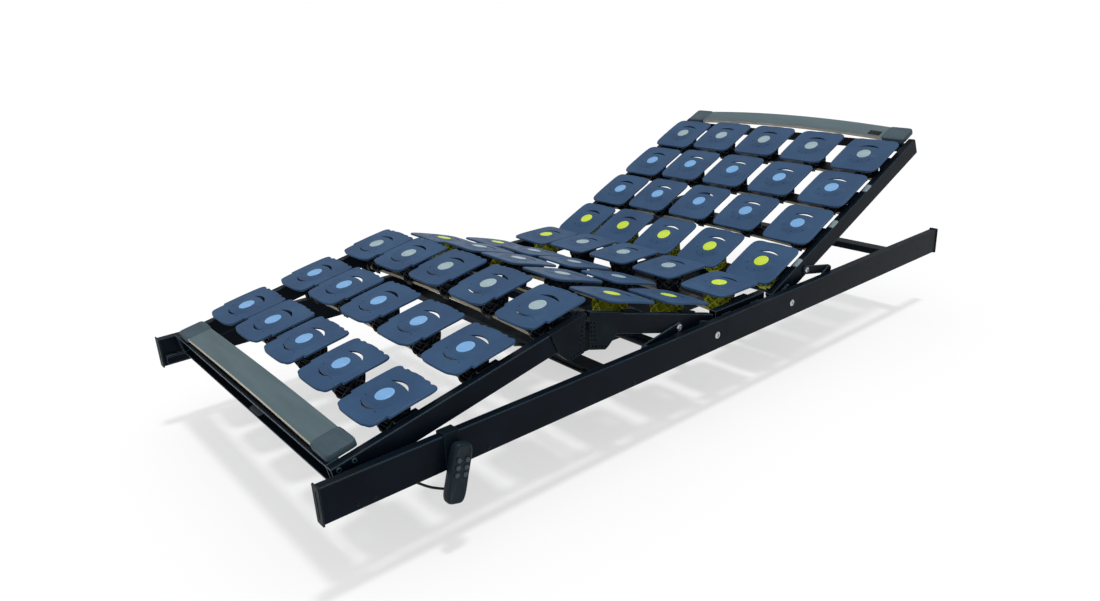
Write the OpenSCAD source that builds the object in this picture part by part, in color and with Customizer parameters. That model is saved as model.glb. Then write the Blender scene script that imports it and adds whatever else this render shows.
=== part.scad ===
// Adjustable bed base: a steel frame whose back, thigh and calf sections fold,
// with plate modules on cambered slats, a twin drive and a corded handset.
// Millimetres. X across the bed, Y towards the head, Z up from the rails' underside.
// The sections are modelled flat and turned to their rest angles by the place_ modules.

/* [Base frame] */
// Length of the side rails
rail_len = 2000; // [1960:10:2200]
// Width over the side rails
base_w = 900; // [800:10:1200]
// Height of a side rail
rail_h = 70; // [64:1:74]
// Thickness of a side rail
rail_t = 20; // [16:1:26]
// Wall of the steel tubes
tube_wall = 2; // [1.5:0.5:3]
// Lip that a rail's end cap stands proud by
cap_lip = 2.5; // [1:0.5:4]
// Width of the cross tubes along the bed
cross_w = 40; // [30:1:44]
// Height of the cross tubes
cross_h = 20; // [14:1:20]

/* [Section tubes] */
// Height of a section's side tube
tube_h = 45; // [40:1:46]
// Thickness of a section's side tube
tube_t = 20; // [16:1:24]
// Gap between a side rail and a section tube
side_gap = 10; // [10:0.5:14]
// Height of the section tubes' top above the rails' underside, bed flat
deck_z = 78; // [77:0.5:84]

/* [Pivots] */
// Height of the thigh and back pivots
pivot_z = 36; // [35:0.5:38]
// Place of the thigh pivot along the bed
thigh_pivot_y = -17; // [-30:1:-10]
// Place of the back pivot along the bed
back_pivot_y = 271; // [265:1:300]
// Distance from the thigh pivot to the knee pin
thigh_len = 396.6; // [390:0.1:410]
// Distance from the knee pin to the foot end of the calf section
calf_len = 584; // [560:1:584]
// Distance from the back pivot to the end of the back tubes
back_len = 680; // [670:1:720]
// Depth of the knee pin below the top of the tubes
knee_drop = 12; // [10:0.5:16]
// Radius of the pivot bolts
pivot_r = 6; // [5:0.5:7]
// Radius of the knee and link pins
pin_r = 5; // [4:0.5:6]

/* [Pose at rest] */
// Angle of the back section at rest
back_rest = 24.5; // [0:0.5:60]
// Angle of the thigh section at rest
thigh_rest = 16.4; // [0:0.1:22]
// Fold of the knee at rest, counted from flat
knee_rest = 27.63; // [0:0.01:37]

/* [Lift linkage] */
// Distance of the link bolt from its pivot, along the tube
link_reach = 111; // [105:1:118]
// Height of the link bolt above its pivot, bed flat
link_rise = 12; // [10:0.5:14]
// Distance from the thigh pivot to the leg shaft
leg_shaft_reach = 108; // [106:1:114]
// Distance from the back pivot to the back shaft
back_shaft_reach = 96; // [95:1:104]
// Depth of both shafts below their pivots
shaft_drop = 19; // [19:0.5:21]
// Radius of the lift shafts
shaft_r = 14; // [10:0.5:14]
// Thickness of the links and cranks
link_t = 3.5; // [3:0.25:3.5]
// Length of the drive levers on the shafts
lever_len = 58; // [50:1:62]

/* [Slats] */
// Width of a cross slat
slat_w = 38; // [30:1:42]
// Thickness of a cross slat
slat_t = 8; // [6:0.5:8]
// Camber of a cross slat at mid span
slat_camber = 15; // [8:1:16]
// Depth of a slat's end below the top of the tubes
slat_drop = 45; // [42:0.5:45]
// Width of an end slat
end_slat_w = 56; // [50:1:60]
// Thickness of an end slat
end_slat_t = 10; // [8:0.5:12]
// Rise of the head end slat at mid span
head_slat_bow = 14; // [0:1:16]
// Rise of the foot end slat at mid span
foot_slat_bow = 6; // [0:1:12]

/* [Plate modules] */
// Number of modules across the bed
columns = 5; // [3:1:5]
// Distance between modules across the bed
column_pitch = 169; // [160:1:176]
// Side of a plate
plate_w = 152; // [140:1:156]
// Thickness of a plate
plate_t = 5; // [4:0.5:6]
// Height of an outer plate's top above the top of the tubes
plate_rise = 25; // [22:0.5:28]
// Radius of the coloured disc
disc_r = 20; // [16:0.5:22]
// Height that a disc stands above its plate
disc_rise = 1; // [0.5:0.1:2]
// Outer radius of a spring module
spring_r = 34; // [30:0.5:38]
// Wall of a spring module
spring_wall = 7; // [5:0.5:8]
// Distance from the knee pin to the first calf row
calf_row_first = 54; // [50:1:60]
// Distance between the calf rows
calf_row_pitch = 184; // [176:1:188]
// Distance from the thigh pivot to the first thigh row
thigh_row_first = 65; // [63:1:68]
// Distance between the thigh rows
thigh_row_pitch = 189; // [180:1:190]
// Place of the seat row along the bed
seat_row_y = 123; // [115:1:126]
// Distance from the back pivot to the first back row
back_row_first = 52.5; // [46:0.5:54]
// Distance between the back rows
back_row_pitch = 167; // [165:0.5:170]

/* [Twin drive] */
// Width of the drive housing across the bed
drive_w = 160; // [140:2:200]
// Depth of the drive housing below the shafts
drive_depth = 109; // [100:1:130]
// Height of the drive cover above the shafts
drive_cover_h = 17; // [16:0.5:18]
// Wall of the drive housing
drive_wall = 3; // [2:0.5:4]
// Room in the housing beyond each shaft
drive_end = 53; // [40:1:60]

/* [Handset] */
// Length of the handset
handset_l = 108; // [100:1:130]
// Width of the handset
handset_w = 42; // [40:1:52]
// Thickness of the handset
handset_t = 20; // [18:1:26]
// Lean of the handset on its hook
handset_lean = 16; // [0:1:20]
// Place of the handset along the bed
handset_y = -752; // [-780:1:-720]
// Radius of a button
button_r = 4.5; // [3.5:0.25:5]
// Height that a button stands out by
button_rise = 1.6; // [1:0.1:2]
// Diameter of the handset's cord
cord_d = 5; // [4:0.5:5]

/* [Hidden] */
$fn = 48;

steel = "#1b222a";
black_plastic = "#15181c";
slate_plastic = "#46586a";
plate_blue = "#3f5c80";
wood = "#6e6b60";
silver = "#b9bec4";
rubber_dark = "#1c2430";
rubber_lime = "#6a6d14";

// Across the bed, for the +X side
rail_out = base_w / 2;
rail_in = rail_out - rail_t;
tube_out = rail_in - side_gap;
tube_in = tube_out - tube_t;

// Flat places along the bed
knee_y = thigh_pivot_y - thigh_len;
knee_z = deck_z - knee_drop;
calf_end_y = knee_y - calf_len;
back_end_y = back_pivot_y + back_len;
tube_z = deck_z - tube_h;
calf_rows = [for (i = [0:2]) knee_y - calf_row_first - i * calf_row_pitch];
thigh_rows = [for (i = [0:1]) thigh_pivot_y - thigh_row_first - i * thigh_row_pitch];
back_rows = [for (i = [0:3]) back_pivot_y + back_row_first + i * back_row_pitch];

// Gaps and seats
fit = 0.3;                 // between pieces that only touch
run_fit = 0.05;            // radial running clearance of a pin in its bore
open_fit = 0.4;            // radial clearance of the crank pins in the links
seat_end_gap = 4;          // from the turning end of a section to the seat tubes
section_end = 30;          // back tube ahead of its pivot
hip_end = 8;               // thigh tube behind its pivot
knee_end = 14;             // from the knee pin to the ends of the tubes
holder_half = 24;          // half length of a slat holder
holder_t = 16;             // thickness of a slat holder
slat_seat = 8;             // depth of a slat's end in its holder
slat_end_x = tube_in - slat_seat;
plate_corner = 5;          // exponent of the plates' rounded square
end_slat_lift = 2;         // under an end slat's ends
end_cap_in = 70;           // length of an end slat cap inside the tubes
end_cap_h = 14;            // height of an end slat cap
end_cap_out = 14;          // from the outer face of a tube to the cap's end
link_gap = 1;              // from a section tube to its link
crank_gap = 0.7;           // from a link to its crank
link_x = tube_out + link_gap;
crank_x = link_x + link_t + crank_gap;
leg_shaft_y = thigh_pivot_y - leg_shaft_reach;
back_shaft_y = back_pivot_y + back_shaft_reach;
shaft_z = pivot_z - shaft_drop;
stub_r = 8;                // radius of the shafts' journals
bush_wall = 2;
bush_depth = 4;            // of a bush in its rail
knee_cross_y = knee_y + 88.6;
head_cross_y = back_rows[3] + 31.5;
cross_z = 1;
ledge_z = 27.5;            // top of the ledges that the calf rollers run on
roller_r = 9;
roller_y = calf_end_y + 15.6;
roller_z = tube_z + 5;

// Folded angles used by more than one piece
leg_lever_rest = 5.2;      // lean of the leg lever towards the foot
back_lever_rest = -15.5;   // lean of the back lever towards the head
lever_tip_r = 8;
lever_half = 4.5;          // half width of a lever above its tip
nut_gap = 2;               // from a drive nut to its lever
nut_len = 24;
nut_h = 28;
nut_w = 44;
fork_in = 13;              // inner face of a lever's prong
fork_t = 6;
spindle_r = 6;

// Handset frame
handset_x = rail_out + 8;
handset_z = -3;
button_pitch_y = 18;
button_pitch_z = 14;
button_top = 30;
hook_w = 32;
hook_t = 3;
lug_depth = 4.6;           // of the handset's hanger lug
lug_wall = 1.2;
lug_z = [22, 46];
tongue_half = 6;
cord_exit_z = -40;         // on the handset's back
gland_l = 6;
gland_r = 7;
cord_socket = [40, -22];   // X and Z of the cord's gland on the drive

// Route of the handset's cord, from the handset to the drive
cord_points = [[453.7, -763, -41.5], [447, -763, -41.5], [440, -766, -41.5], [434, -774, -39.5],
    [430, -786, -34], [428, -799, -25], [427, -812, -14], [426.5, -824, -3], [426.5, -836, 9],
    [426.5, -842, 22], [426.5, -837, 34], [426.5, -826, 38], [426.5, -814, 34], [426.5, -802, 23],
    [426.5, -788, 15], [426.5, -770, 12], [426.5, -700, 12], [426.5, -620, 12], [426.5, -540, 12],
    [426.5, -460, 12], [427, -400, 8], [427.2, -362, 5], [427.2, -344, 4], [423, -333.5, 4],
    [411, -328.5, 5], [390, -328, 6], [350, -328, 6], [250, -328, 6], [150, -328, 6], [106, -328.5, 5],
    [88, -329.5, 0], [75, -325, -5], [66, -312, -8], [58, -290, -11], [50, -260, -15],
    [43, -225, -20], [40, -200, -22], [40, -184, -22]];
clip_ys = [-660, -595, -530];
clip_xs = [330, 200];

// ---------- helpers ----------

// Children and their mirror image across the bed's centre plane
module both_sides() {
    children();
    mirror([1, 0, 0]) children();
}

// A profile drawn in X and Z, carried along Y
module bar_y(y0, y1) translate([0, y1, 0]) rotate([90, 0, 0]) linear_extrude(y1 - y0) children();

// A profile drawn in Y and Z, carried along X
module bar_x(x0, x1) translate([x0, 0, 0]) rotate([90, 0, 90]) linear_extrude(x1 - x0) children();

// Cylinder along X
module rod_x(x0, x1, r) translate([x0, 0, 0]) rotate([0, 90, 0]) cylinder(r = r, h = x1 - x0);

// Corner points of a rectangle with round corners of radius r
function round_box(x0, y0, x1, y1, r, n = 4) = [
    for (c = [[x1 - r, y1 - r, 0], [x0 + r, y1 - r, 90], [x0 + r, y0 + r, 180], [x1 - r, y0 + r, 270]])
        for (i = [0:n]) [c[0] + r * cos(c[2] + 90 * i / n), c[1] + r * sin(c[2] + 90 * i / n)]];

module rounded(x0, y0, x1, y1, r) polygon(round_box(x0, y0, x1, y1, r));

// Section of a rectangular tube
module tube_section(x0, y0, x1, y1, wall = tube_wall, r = 2.5) difference() {
    rounded(x0, y0, x1, y1, r);
    rounded(x0 + wall, y0 + wall, x1 - wall, y1 - wall, 1);
}

// Turn a section about an axis along X through [y, z]
module turned(y, z, angle) translate([0, y, z]) rotate([angle, 0, 0]) translate([0, -y, -z]) children();
module place_back() turned(back_pivot_y, pivot_z, back_rest) children();
module place_thigh() turned(thigh_pivot_y, pivot_z, -thigh_rest) children();
module place_calf() place_thigh() turned(knee_y, knee_z, knee_rest) children();

// Turn a vector [y, z] by an angle about X
function turn(v, a) = [v[0] * cos(a) - v[1] * sin(a), v[0] * sin(a) + v[1] * cos(a)];
leg_bolt = [thigh_pivot_y, pivot_z] + turn([-link_reach, link_rise], -thigh_rest);
leg_crank = leg_bolt + [-leg_shaft_reach, -shaft_drop];
back_bolt = [back_pivot_y, pivot_z] + turn([link_reach, link_rise], back_rest);
back_crank = back_bolt + [back_shaft_reach, -shaft_drop];

// ---------- slats and their holders ----------

// Height of a cross slat's top at x, with the camber falling off as the square of x
function slat_top(x) = deck_z - slat_drop + slat_camber * (1 - pow(x / slat_end_x, 2));

// Height of a plate's underside in the column at x: the modules all have one height
function plate_under(x) = deck_z + plate_rise - plate_t
    + slat_top(x) - slat_top(column_pitch * 2);

function column_x(j) = (j - (columns - 1) / 2) * column_pitch;

module slat_profile(below, n = 10) polygon(concat(
    [for (i = [-n:n]) [slat_end_x * i / n, slat_top(slat_end_x * i / n)]],
    [for (i = [n:-1:-n]) [slat_end_x * i / n, slat_top(slat_end_x * i / n) - below]]));

module cross_slat(y) bar_y(y - slat_w / 2, y + slat_w / 2) slat_profile(slat_t);

// A holder hooks over the tube, and its pocket takes the end of the slat
module slat_holder(y) {
    bottom = deck_z - slat_drop - slat_t - 2;
    lip = 3;
    both_sides() difference() {
        union() {
            bar_y(y - holder_half, y + holder_half)
                polygon([[tube_in - holder_t, bottom], [tube_in, bottom], [tube_in, deck_z],
                    [tube_in + 6, deck_z], [tube_in + 6, deck_z + lip], [tube_in - 5, deck_z + lip],
                    [tube_in - 5, deck_z - 18], [tube_in - holder_t, deck_z - 28]]);
        }
        translate([tube_in - holder_t - 1, y - slat_w / 2 - fit, deck_z - slat_drop - slat_t - fit])
            cube([holder_t - slat_seat + 1 + fit, slat_w + 2 * fit, slat_t + 2 * fit + 2]);
    }
}

// An end slat lies on its two caps and rises by bow at mid span
module end_slat(y, bow, n = 12) {
    half = tube_in - end_cap_in + 15;
    z = deck_z + end_slat_lift;
    bar_y(y - end_slat_w / 2, y + end_slat_w / 2) polygon(concat(
        [for (i = [-n:n]) [half * i / n, z + end_slat_t + bow * (1 - pow(i / n, 2))]],
        [for (i = [n:-1:-n]) [half * i / n, z + bow * (1 - pow(i / n, 2))]]));
}

module end_slat_cap(y, bow) {
    half = tube_in - end_cap_in + 15;
    inner = tube_in - end_cap_in;
    z = deck_z + end_slat_lift;
    drop = bow * (1 - pow(inner / half, 2));
    both_sides() difference() {
        translate([0, y, deck_z]) linear_extrude(end_cap_h + drop)
            rounded(inner, -end_slat_w / 2 - 3, tube_out - end_cap_out, end_slat_w / 2 + 3, 8);
        bar_y(y - end_slat_w / 2 - fit, y + end_slat_w / 2 + fit)
            polygon([[inner - 1, z - fit + drop], [half + fit, z - fit],
                [half + fit, z + end_slat_t + fit], [inner - 1, z + end_slat_t + drop + fit]]);
        translate([inner - 1, y - end_slat_w / 2 - 4, deck_z - 1])
            cube([tube_in - inner - 20, end_slat_w + 8, 1 + end_slat_lift - fit]);
    }
}

// ---------- plate modules ----------

// Rounded square with sides that bow outwards: |x|^n + |y|^n = 1
function plate_outline(half, n = 32) = [for (i = [0:n - 1])
    let (a = 360 * (i + 0.5) / n, c = abs(cos(a)), s = abs(sin(a)),
        r = half / pow(pow(c, plate_corner) + pow(s, plate_corner), 1 / plate_corner))
        [r * cos(a), r * sin(a)]];

// Crescent between two arcs that share their ends
function crescent(half_w, y, sag, rise, n = 8) = concat(
    [for (i = [-n:n]) [half_w * i / n, y + rise * (1 - pow(i / n, 2))]],
    [for (i = [n - 1:-1:1 - n]) [half_w * i / n, y + sag * (1 - pow(i / n, 2))]]);

// One plate, with its crescent, the recess for its disc and the boss in the spring
module plate(x, y) {
    disc_seat = 2;
    boss_r = spring_r - spring_wall - 3;
    translate([x, y, plate_under(x)]) difference() {
        union() {
            linear_extrude(plate_t) difference() {
                polygon(plate_outline(plate_w / 2));
                polygon(crescent(33, 33, 5, 14));
            }
            translate([0, 0, -8]) cylinder(r = boss_r, h = 8.5);
        }
        translate([0, 0, plate_t - disc_seat]) cylinder(r = disc_r + fit, h = disc_seat + 1);
        translate([0, 0, -9]) cylinder(r = boss_r - 4, h = 9 + plate_t - disc_seat - 1.5);
    }
}

module disc(x, y) translate([x, y, plate_under(x) + plate_t - 2]) cylinder(r = disc_r, h = 2 + disc_rise);

// One spring module: a sleeve that stands on the slat
module spring_module(x, y) difference() {
    foot = slat_top(abs(x) + spring_r) - 1;
    translate([x, y, foot]) cylinder(r = spring_r, h = plate_under(x) - foot);
    translate([x, y, foot - 1]) cylinder(r = spring_r - spring_wall, h = plate_under(x) - foot + 2);
    bar_y(y - spring_r - 1, y + spring_r + 1) slat_profile(3 * slat_t);
}

module row_of_plates(y) for (j = [0:columns - 1]) plate(column_x(j), y);
module row_of_discs(y) for (j = [0:columns - 1]) disc(column_x(j), y);
module springs(y, js) for (j = js) spring_module(column_x(j), y);
function is_edge(j) = j == 0 || j == columns - 1;
inner_columns = [for (j = [0:columns - 1]) if (!is_edge(j)) j];
all_columns = [for (j = [0:columns - 1]) j];

// ---------- base ----------

module side_rails() color(steel) both_sides() difference() {
    bar_y(-rail_len / 2, rail_len / 2) tube_section(rail_in, 0, rail_out, rail_h);
    for (y = [thigh_pivot_y, back_pivot_y])
        translate([0, y, pivot_z]) rod_x(rail_in - 1, rail_out + 1, pivot_r);
    for (y = [leg_shaft_y, back_shaft_y])
        translate([0, y, shaft_z]) rod_x(rail_in - 1, rail_in + tube_wall + 1, stub_r + bush_wall);
    for (y = [-leg_hole_y, leg_hole_y])
        translate([rail_in + rail_t / 2, y, -1]) cylinder(r = leg_hole_r, h = tube_wall + 2);
}
leg_hole_y = 850;          // from mid length to the leg bolt holes
leg_hole_r = 4.2;

module rail_end_caps() color(black_plastic) both_sides() for (s = [-1, 1]) {
    inset = 1.2;
    plug = 12;
    face = s * rail_len / 2;
    bar_y(min(face, face + s * cap_lip), max(face, face + s * cap_lip)) difference() {
        rounded(rail_in - cap_lip, -cap_lip, rail_out + cap_lip, rail_h + cap_lip, 3);
        rounded(rail_in + rail_t / 2 - 2, 8, rail_in + rail_t / 2 + 2, rail_h - 8, 1.5);
    }
    bar_y(min(face, face - s * plug), max(face, face - s * plug))
        rounded(rail_in + tube_wall + inset, tube_wall + inset,
            rail_out - tube_wall - inset, rail_h - tube_wall - inset, 1);
}

module cross_tubes() color(steel) for (y = [knee_cross_y, head_cross_y])
    bar_x(-rail_in, rail_in) tube_section(y, cross_z, y + cross_w, cross_z + cross_h);

seat_y0 = thigh_pivot_y + 29;
// The seat tubes end clear of the circle that the lowest back plates sweep
plate_sweep = norm([plate_w / 2 - back_row_first, deck_z - pivot_z + plate_rise]);
seat_y1 = back_pivot_y - max(plate_sweep, norm([section_end, deck_z - pivot_z])) - seat_end_gap;
module seat_frame() color(steel) both_sides() {
    bar_y(seat_y0, seat_y1) tube_section(tube_in, tube_z, tube_out, deck_z);
    for (y = [seat_y0 + 24, seat_y1 - 54])
        bar_y(y, y + 30) rounded(tube_out, tube_z + 6, rail_in, rail_h - 6, 1);
}

// Pivot bolts that carry the sections, and the small screws of the ledges and clips
module rail_bolts() color(silver) both_sides() {
    for (y = [thigh_pivot_y, back_pivot_y]) translate([0, y, pivot_z]) {
        rod_x(tube_out + fit, rail_out, pivot_r);
        rod_x(tube_out + ear_t + fit, rail_in, pivot_r + 3.5);
        rod_x(rail_out, rail_out + 2.4, pivot_r + 2.5);
    }
    for (p = ledge_screws) translate([0, p[0], p[1]]) rod_x(rail_out, rail_out + 1.6, 3.6);
}
ledge_screws = [[-938, 13], [-906, 11], [-669, 10], [-288, 8]];
ear_t = 5;                 // thickness of a section's hinge ear
ear_r = 16;

module seat_slat() color(wood) cross_slat(seat_row_y);
module seat_slat_holders() color(black_plastic) slat_holder(seat_row_y);
module seat_springs() color(rubber_lime) springs(seat_row_y, all_columns);

module foot_ledges() color(steel) both_sides() bar_y(-rail_len / 2 + 8, -rail_len / 2 + 100)
    polygon([[tube_out + 1, ledge_z - 5], [rail_in - 3, ledge_z - 5], [rail_in - 3, 4],
        [rail_in, 4], [rail_in, ledge_z], [tube_out + 1, ledge_z]]);

module shaft_bushes() color("#d8d8d0") both_sides() for (y = [leg_shaft_y, back_shaft_y])
    translate([0, y, shaft_z]) difference() {
        union() {
            rod_x(rail_in, rail_in + bush_depth, stub_r + bush_wall);
            rod_x(rail_in - 0.9, rail_in, stub_r + bush_wall + 3);
        }
        rod_x(rail_in - 2, rail_in + bush_depth + 1, stub_r + run_fit);
    }

// ---------- twin drive ----------

drive_y0 = leg_shaft_y - drive_end;
drive_y1 = back_shaft_y + drive_end;
module drive_plan(inset)
    rounded(-drive_w / 2 + inset, drive_y0 + inset, drive_w / 2 - inset, drive_y1 - inset, 14 - inset);

module shaft_notches() for (y = [leg_shaft_y, back_shaft_y])
    translate([0, y, shaft_z]) rod_x(-drive_w, drive_w, shaft_r + fit);

module drive_lower_shell() color(black_plastic) difference() {
    union() {
        translate([0, 0, shaft_z - drive_depth]) linear_extrude(drive_depth) drive_plan(0);
        // Gland of the handset's cord, and the collar of the mains inlet
        translate([cord_socket[0], drive_y0 - gland_l, cord_socket[1]]) rotate([-90, 0, 0])
            cylinder(r1 = gland_r - 2, r2 = gland_r, h = gland_l + 1);
        bar_y(drive_y0 - gland_l, drive_y0 + 1) rounded(-56, -36, -24, -16, 3);
    }
    bar_y(drive_y0 - gland_l - 1, drive_y0) rounded(-51, -31, -29, -21, 4.5);
    translate([0, 0, shaft_z - drive_depth + drive_wall]) linear_extrude(drive_depth) drive_plan(drive_wall);
    shaft_notches();
}

module drive_cover() color(black_plastic) difference() {
    translate([0, 0, shaft_z]) linear_extrude(drive_cover_h) drive_plan(0);
    translate([0, 0, shaft_z - 1]) linear_extrude(drive_cover_h - drive_wall + 1) drive_plan(drive_wall);
    shaft_notches();
}

spindle_z = shaft_z - lever_len;
drive_mid = (leg_shaft_y + back_shaft_y) / 2;
// Two gearmotors that stand back to back on the housing's floor, each with its spindle
module drive_motors() color(silver) for (s = [-1, 1]) {
    box_y = drive_mid + s * 34;
    floor_z = shaft_z - drive_depth + drive_wall;
    translate([-30, box_y - 22, floor_z]) cube([60, 44, 60]);
    translate([0, box_y, floor_z + 30]) rotate([0, s * 90, 0]) cylinder(r = 24, h = drive_w / 2 - 8);
    translate([0, box_y, spindle_z]) rotate([s * -90, 0, 0])
        cylinder(r = spindle_r, h = abs(drive_mid - leg_shaft_y) - 34 + 40);
}

// A shaft with a crank at each end and a forked lever at mid span. Its centre is at [y, z]
module lift_shaft(y, crank, lean) {
    arm = crank - [y, shaft_z];
    reach = norm(arm);
    angle = atan2(arm[1], arm[0]);
    half_w = 10;
    difference() {
        union() {
            translate([0, y, shaft_z]) rod_x(-crank_x, crank_x, shaft_r);
            both_sides() {
                translate([crank_x, y, shaft_z]) rotate([angle, 0, 0]) bar_x(0, link_t) {
                    circle(r = shaft_r + 1);
                    translate([reach, 0]) circle(r = half_w);
                    translate([0, -half_w]) square([reach, 2 * half_w]);
                }
                translate([0, y, shaft_z]) rod_x(crank_x, rail_in + bush_depth, stub_r);
                translate([0, crank[0], crank[1]]) rod_x(link_x - 0.2, crank_x + link_t, pin_r);
                translate([fork_in, y, shaft_z]) rotate([lean, 0, 0]) bar_x(0, fork_t) {
                    translate([0, -lever_len]) circle(r = lever_tip_r);
                    translate([-lever_half, -lever_len]) square([2 * lever_half, lever_len]);
                }
            }
        }
        translate([0, y, shaft_z]) rod_x(-crank_x - link_t, crank_x + link_t, stub_r - 3);
    }
}

// A link with its two eyes: from the section's bolt to the crank's pin
module link_pair(bolt, crank) both_sides() difference() {
    arm = crank - bolt;
    half_w = 11;
    translate([link_x, bolt[0], bolt[1]]) rotate([atan2(arm[1], arm[0]), 0, 0]) bar_x(0, link_t) {
        circle(r = half_w);
        translate([norm(arm), 0]) circle(r = half_w);
        translate([0, -half_w]) square([norm(arm), 2 * half_w]);
    }
    translate([0, bolt[0], bolt[1]]) rod_x(link_x - 1, crank_x, pin_r + run_fit);
    translate([0, crank[0], crank[1]]) rod_x(link_x - 1, crank_x, pin_r + open_fit);
}

module leg_shaft() color(steel) lift_shaft(leg_shaft_y, leg_crank, -leg_lever_rest);
module back_shaft() color(steel) lift_shaft(back_shaft_y, back_crank, back_lever_rest);
module leg_links() color(steel) link_pair(leg_bolt, leg_crank);
module back_links() color(steel) link_pair(back_bolt, back_crank);

// A nut on its spindle, whose face pushes the lever's tips. Its face is at y
module drive_nut(y, s) color("#d8d8d0") difference() {
    translate([-nut_w / 2, min(y, y - s * nut_len), spindle_z - nut_h / 2]) cube([nut_w, nut_len, nut_h]);
    translate([0, y - nut_len - 1, spindle_z]) rotate([-90, 0, 0])
        cylinder(r = spindle_r + run_fit, h = 2 * nut_len + 2);
}
module leg_drive_nut()
    drive_nut(leg_shaft_y - lever_len * sin(leg_lever_rest) + lever_tip_r + nut_gap, -1);
module back_drive_nut()
    drive_nut(back_shaft_y + lever_len * sin(back_lever_rest) - lever_tip_r - nut_gap, 1);

// ---------- sections ----------

module side_tubes(y0, y1) bar_y(y0, y1) tube_section(tube_in, tube_z, tube_out, deck_z);

// Ear of a section's hinge, on the outer face of its tube
module hinge_ear(y, s) difference() {
    bar_x(tube_out, tube_out + ear_t) {
        translate([y, pivot_z]) circle(r = ear_r);
        translate([min(y, y + s * 34), tube_z + 3]) square([34, ear_r * 2 - 6]);
    }
    translate([0, y, pivot_z]) rod_x(tube_out - 1, tube_out + ear_t + 1, pivot_r + run_fit);
}

// Knee hinge plate on the inner face of a tube, s is the side of the pin it lies on
plate_hinge_t = 4;
calf_plate_l = calf_row_first - holder_half - 2;
module knee_plate(x, s, length) difference() {
    bar_x(x, x + plate_hinge_t) {
        translate([knee_y, knee_z]) circle(r = 11);
        translate([min(knee_y, knee_y + s * length), knee_z - 11]) square([length, 22]);
    }
    translate([0, knee_y, knee_z]) rod_x(x - 1, x + plate_hinge_t + 1, pin_r + run_fit);
}

module calf_frame() color(steel) place_calf() {
    channel_d = 26;
    both_sides() {
        side_tubes(calf_end_y, knee_y - knee_end);
        knee_plate(tube_in - 2 * plate_hinge_t - 0.6, -1, calf_plate_l);
        // Spacer that sets the inner hinge plate off from its tube
        bar_x(tube_in - plate_hinge_t - 0.6, tube_in)
            translate([knee_y - calf_plate_l, knee_z - 11]) square([calf_plate_l - knee_end, 22]);
        for (a = [541, 571]) translate([0, knee_y - a, deck_z - 8]) rod_x(tube_out, tube_out + 1.8, 4);
    }
    bar_x(-tube_in, tube_in) difference() {
        translate([calf_end_y, tube_z]) square([channel_d, tube_h]);
        translate([calf_end_y - 1, tube_z + 3]) square([channel_d - 2, tube_h - 6]);
    }
}

module calf_slats() color(wood) place_calf() for (y = calf_rows) cross_slat(y);
module calf_slat_holders() color(black_plastic) place_calf() for (y = calf_rows) slat_holder(y);
module calf_springs() color(rubber_dark) place_calf() for (y = calf_rows) springs(y, all_columns);
foot_slat_y = calf_end_y + 8 + end_slat_w / 2;
module foot_end_slat() color("#5a6c74") place_calf() end_slat(foot_slat_y, foot_slat_bow);
module foot_end_slat_caps() color(slate_plastic) place_calf() end_slat_cap(foot_slat_y, foot_slat_bow);
module calf_rollers() color(black_plastic) place_calf() both_sides()
    translate([0, roller_y, roller_z]) rod_x(tube_out, rail_in - 1.5, roller_r);

// Knee cover over a tube's end. Outline from the pin, y along the tube away from the knee
cover_t = 3;
module knee_cover(slant, s) {
    low = -65;
    pocket_d = 2.3;
    pocket_x = tube_out + cover_t + 0.5 - pocket_d;
    top = knee_drop + 2.5;
    gap = 1;
    outline = [[gap, top], [96, top], [96, 6], [87, -38], [71, low + 5], [65, low],
        [gap + 8 - low * tan(slant) - 8, low]];
    inner = [[gap + 5, top - cover_t], [97, top - cover_t], [97, -34], [85, -36],
        [66, low + cover_t + 3], [gap + 5 - (low + cover_t) * tan(slant), low + cover_t + 1]];
    module flat_side() translate([knee_y, knee_z]) scale([s, 1]) children();
    both_sides() difference() {
        bar_x(tube_in + 7.5, tube_out + cover_t + 0.5) flat_side() polygon(outline);
        bar_x(tube_out - 30, tube_out + 0.5) flat_side() polygon(inner);
        // Room for the tube, the slat holder's side and the pin
        bar_x(tube_in - 10, tube_out + 0.5) flat_side()
            translate([knee_end - 1, knee_drop - tube_h - 0.5]) square([100, tube_h + 1]);
        translate([0, knee_y, knee_z]) rod_x(tube_in - 10, rail_in, pin_r + 3);
        // Waffle pockets along the facing edge and the lower edge
        for (i = [0:4], j = [0:1])
            bar_x(pocket_x, pocket_x + pocket_d + 1) flat_side()
                translate([gap + 4 + 9 * j + (9 * i + 4) * tan(slant), -4 - 9 * i - 7]) square(6);
        for (i = [1:5])
            bar_x(pocket_x, pocket_x + pocket_d + 1) flat_side()
                translate([15 + 9 * i, low + 4]) square(6);
    }
}
thigh_slant = 17.5;
calf_slant = 22;
module calf_knee_covers() color(black_plastic) place_calf() knee_cover(calf_slant, -1);
module thigh_knee_covers() color(black_plastic) place_thigh() knee_cover(thigh_slant, 1);

module thigh_frame() color(steel) place_thigh() {
    bar_y0 = knee_y + 24;
    both_sides() {
        side_tubes(knee_y + knee_end, thigh_pivot_y + hip_end);
        hinge_ear(thigh_pivot_y, -1);
        knee_plate(tube_in - plate_hinge_t, 1, 60);
    }
    bar_x(-tube_in + plate_hinge_t, tube_in - plate_hinge_t)
        tube_section(bar_y0, deck_z - 36, bar_y0 + 20, deck_z - 16);
}
module thigh_slats() color(wood) place_thigh() for (y = thigh_rows) cross_slat(y);
module thigh_slat_holders() color(black_plastic) place_thigh() for (y = thigh_rows) slat_holder(y);
module thigh_springs_soft() color(rubber_lime) place_thigh()
    for (y = thigh_rows) springs(y, [0, columns - 1]);
module thigh_springs_firm() color(rubber_dark) place_thigh() for (y = thigh_rows) springs(y, inner_columns);

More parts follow.
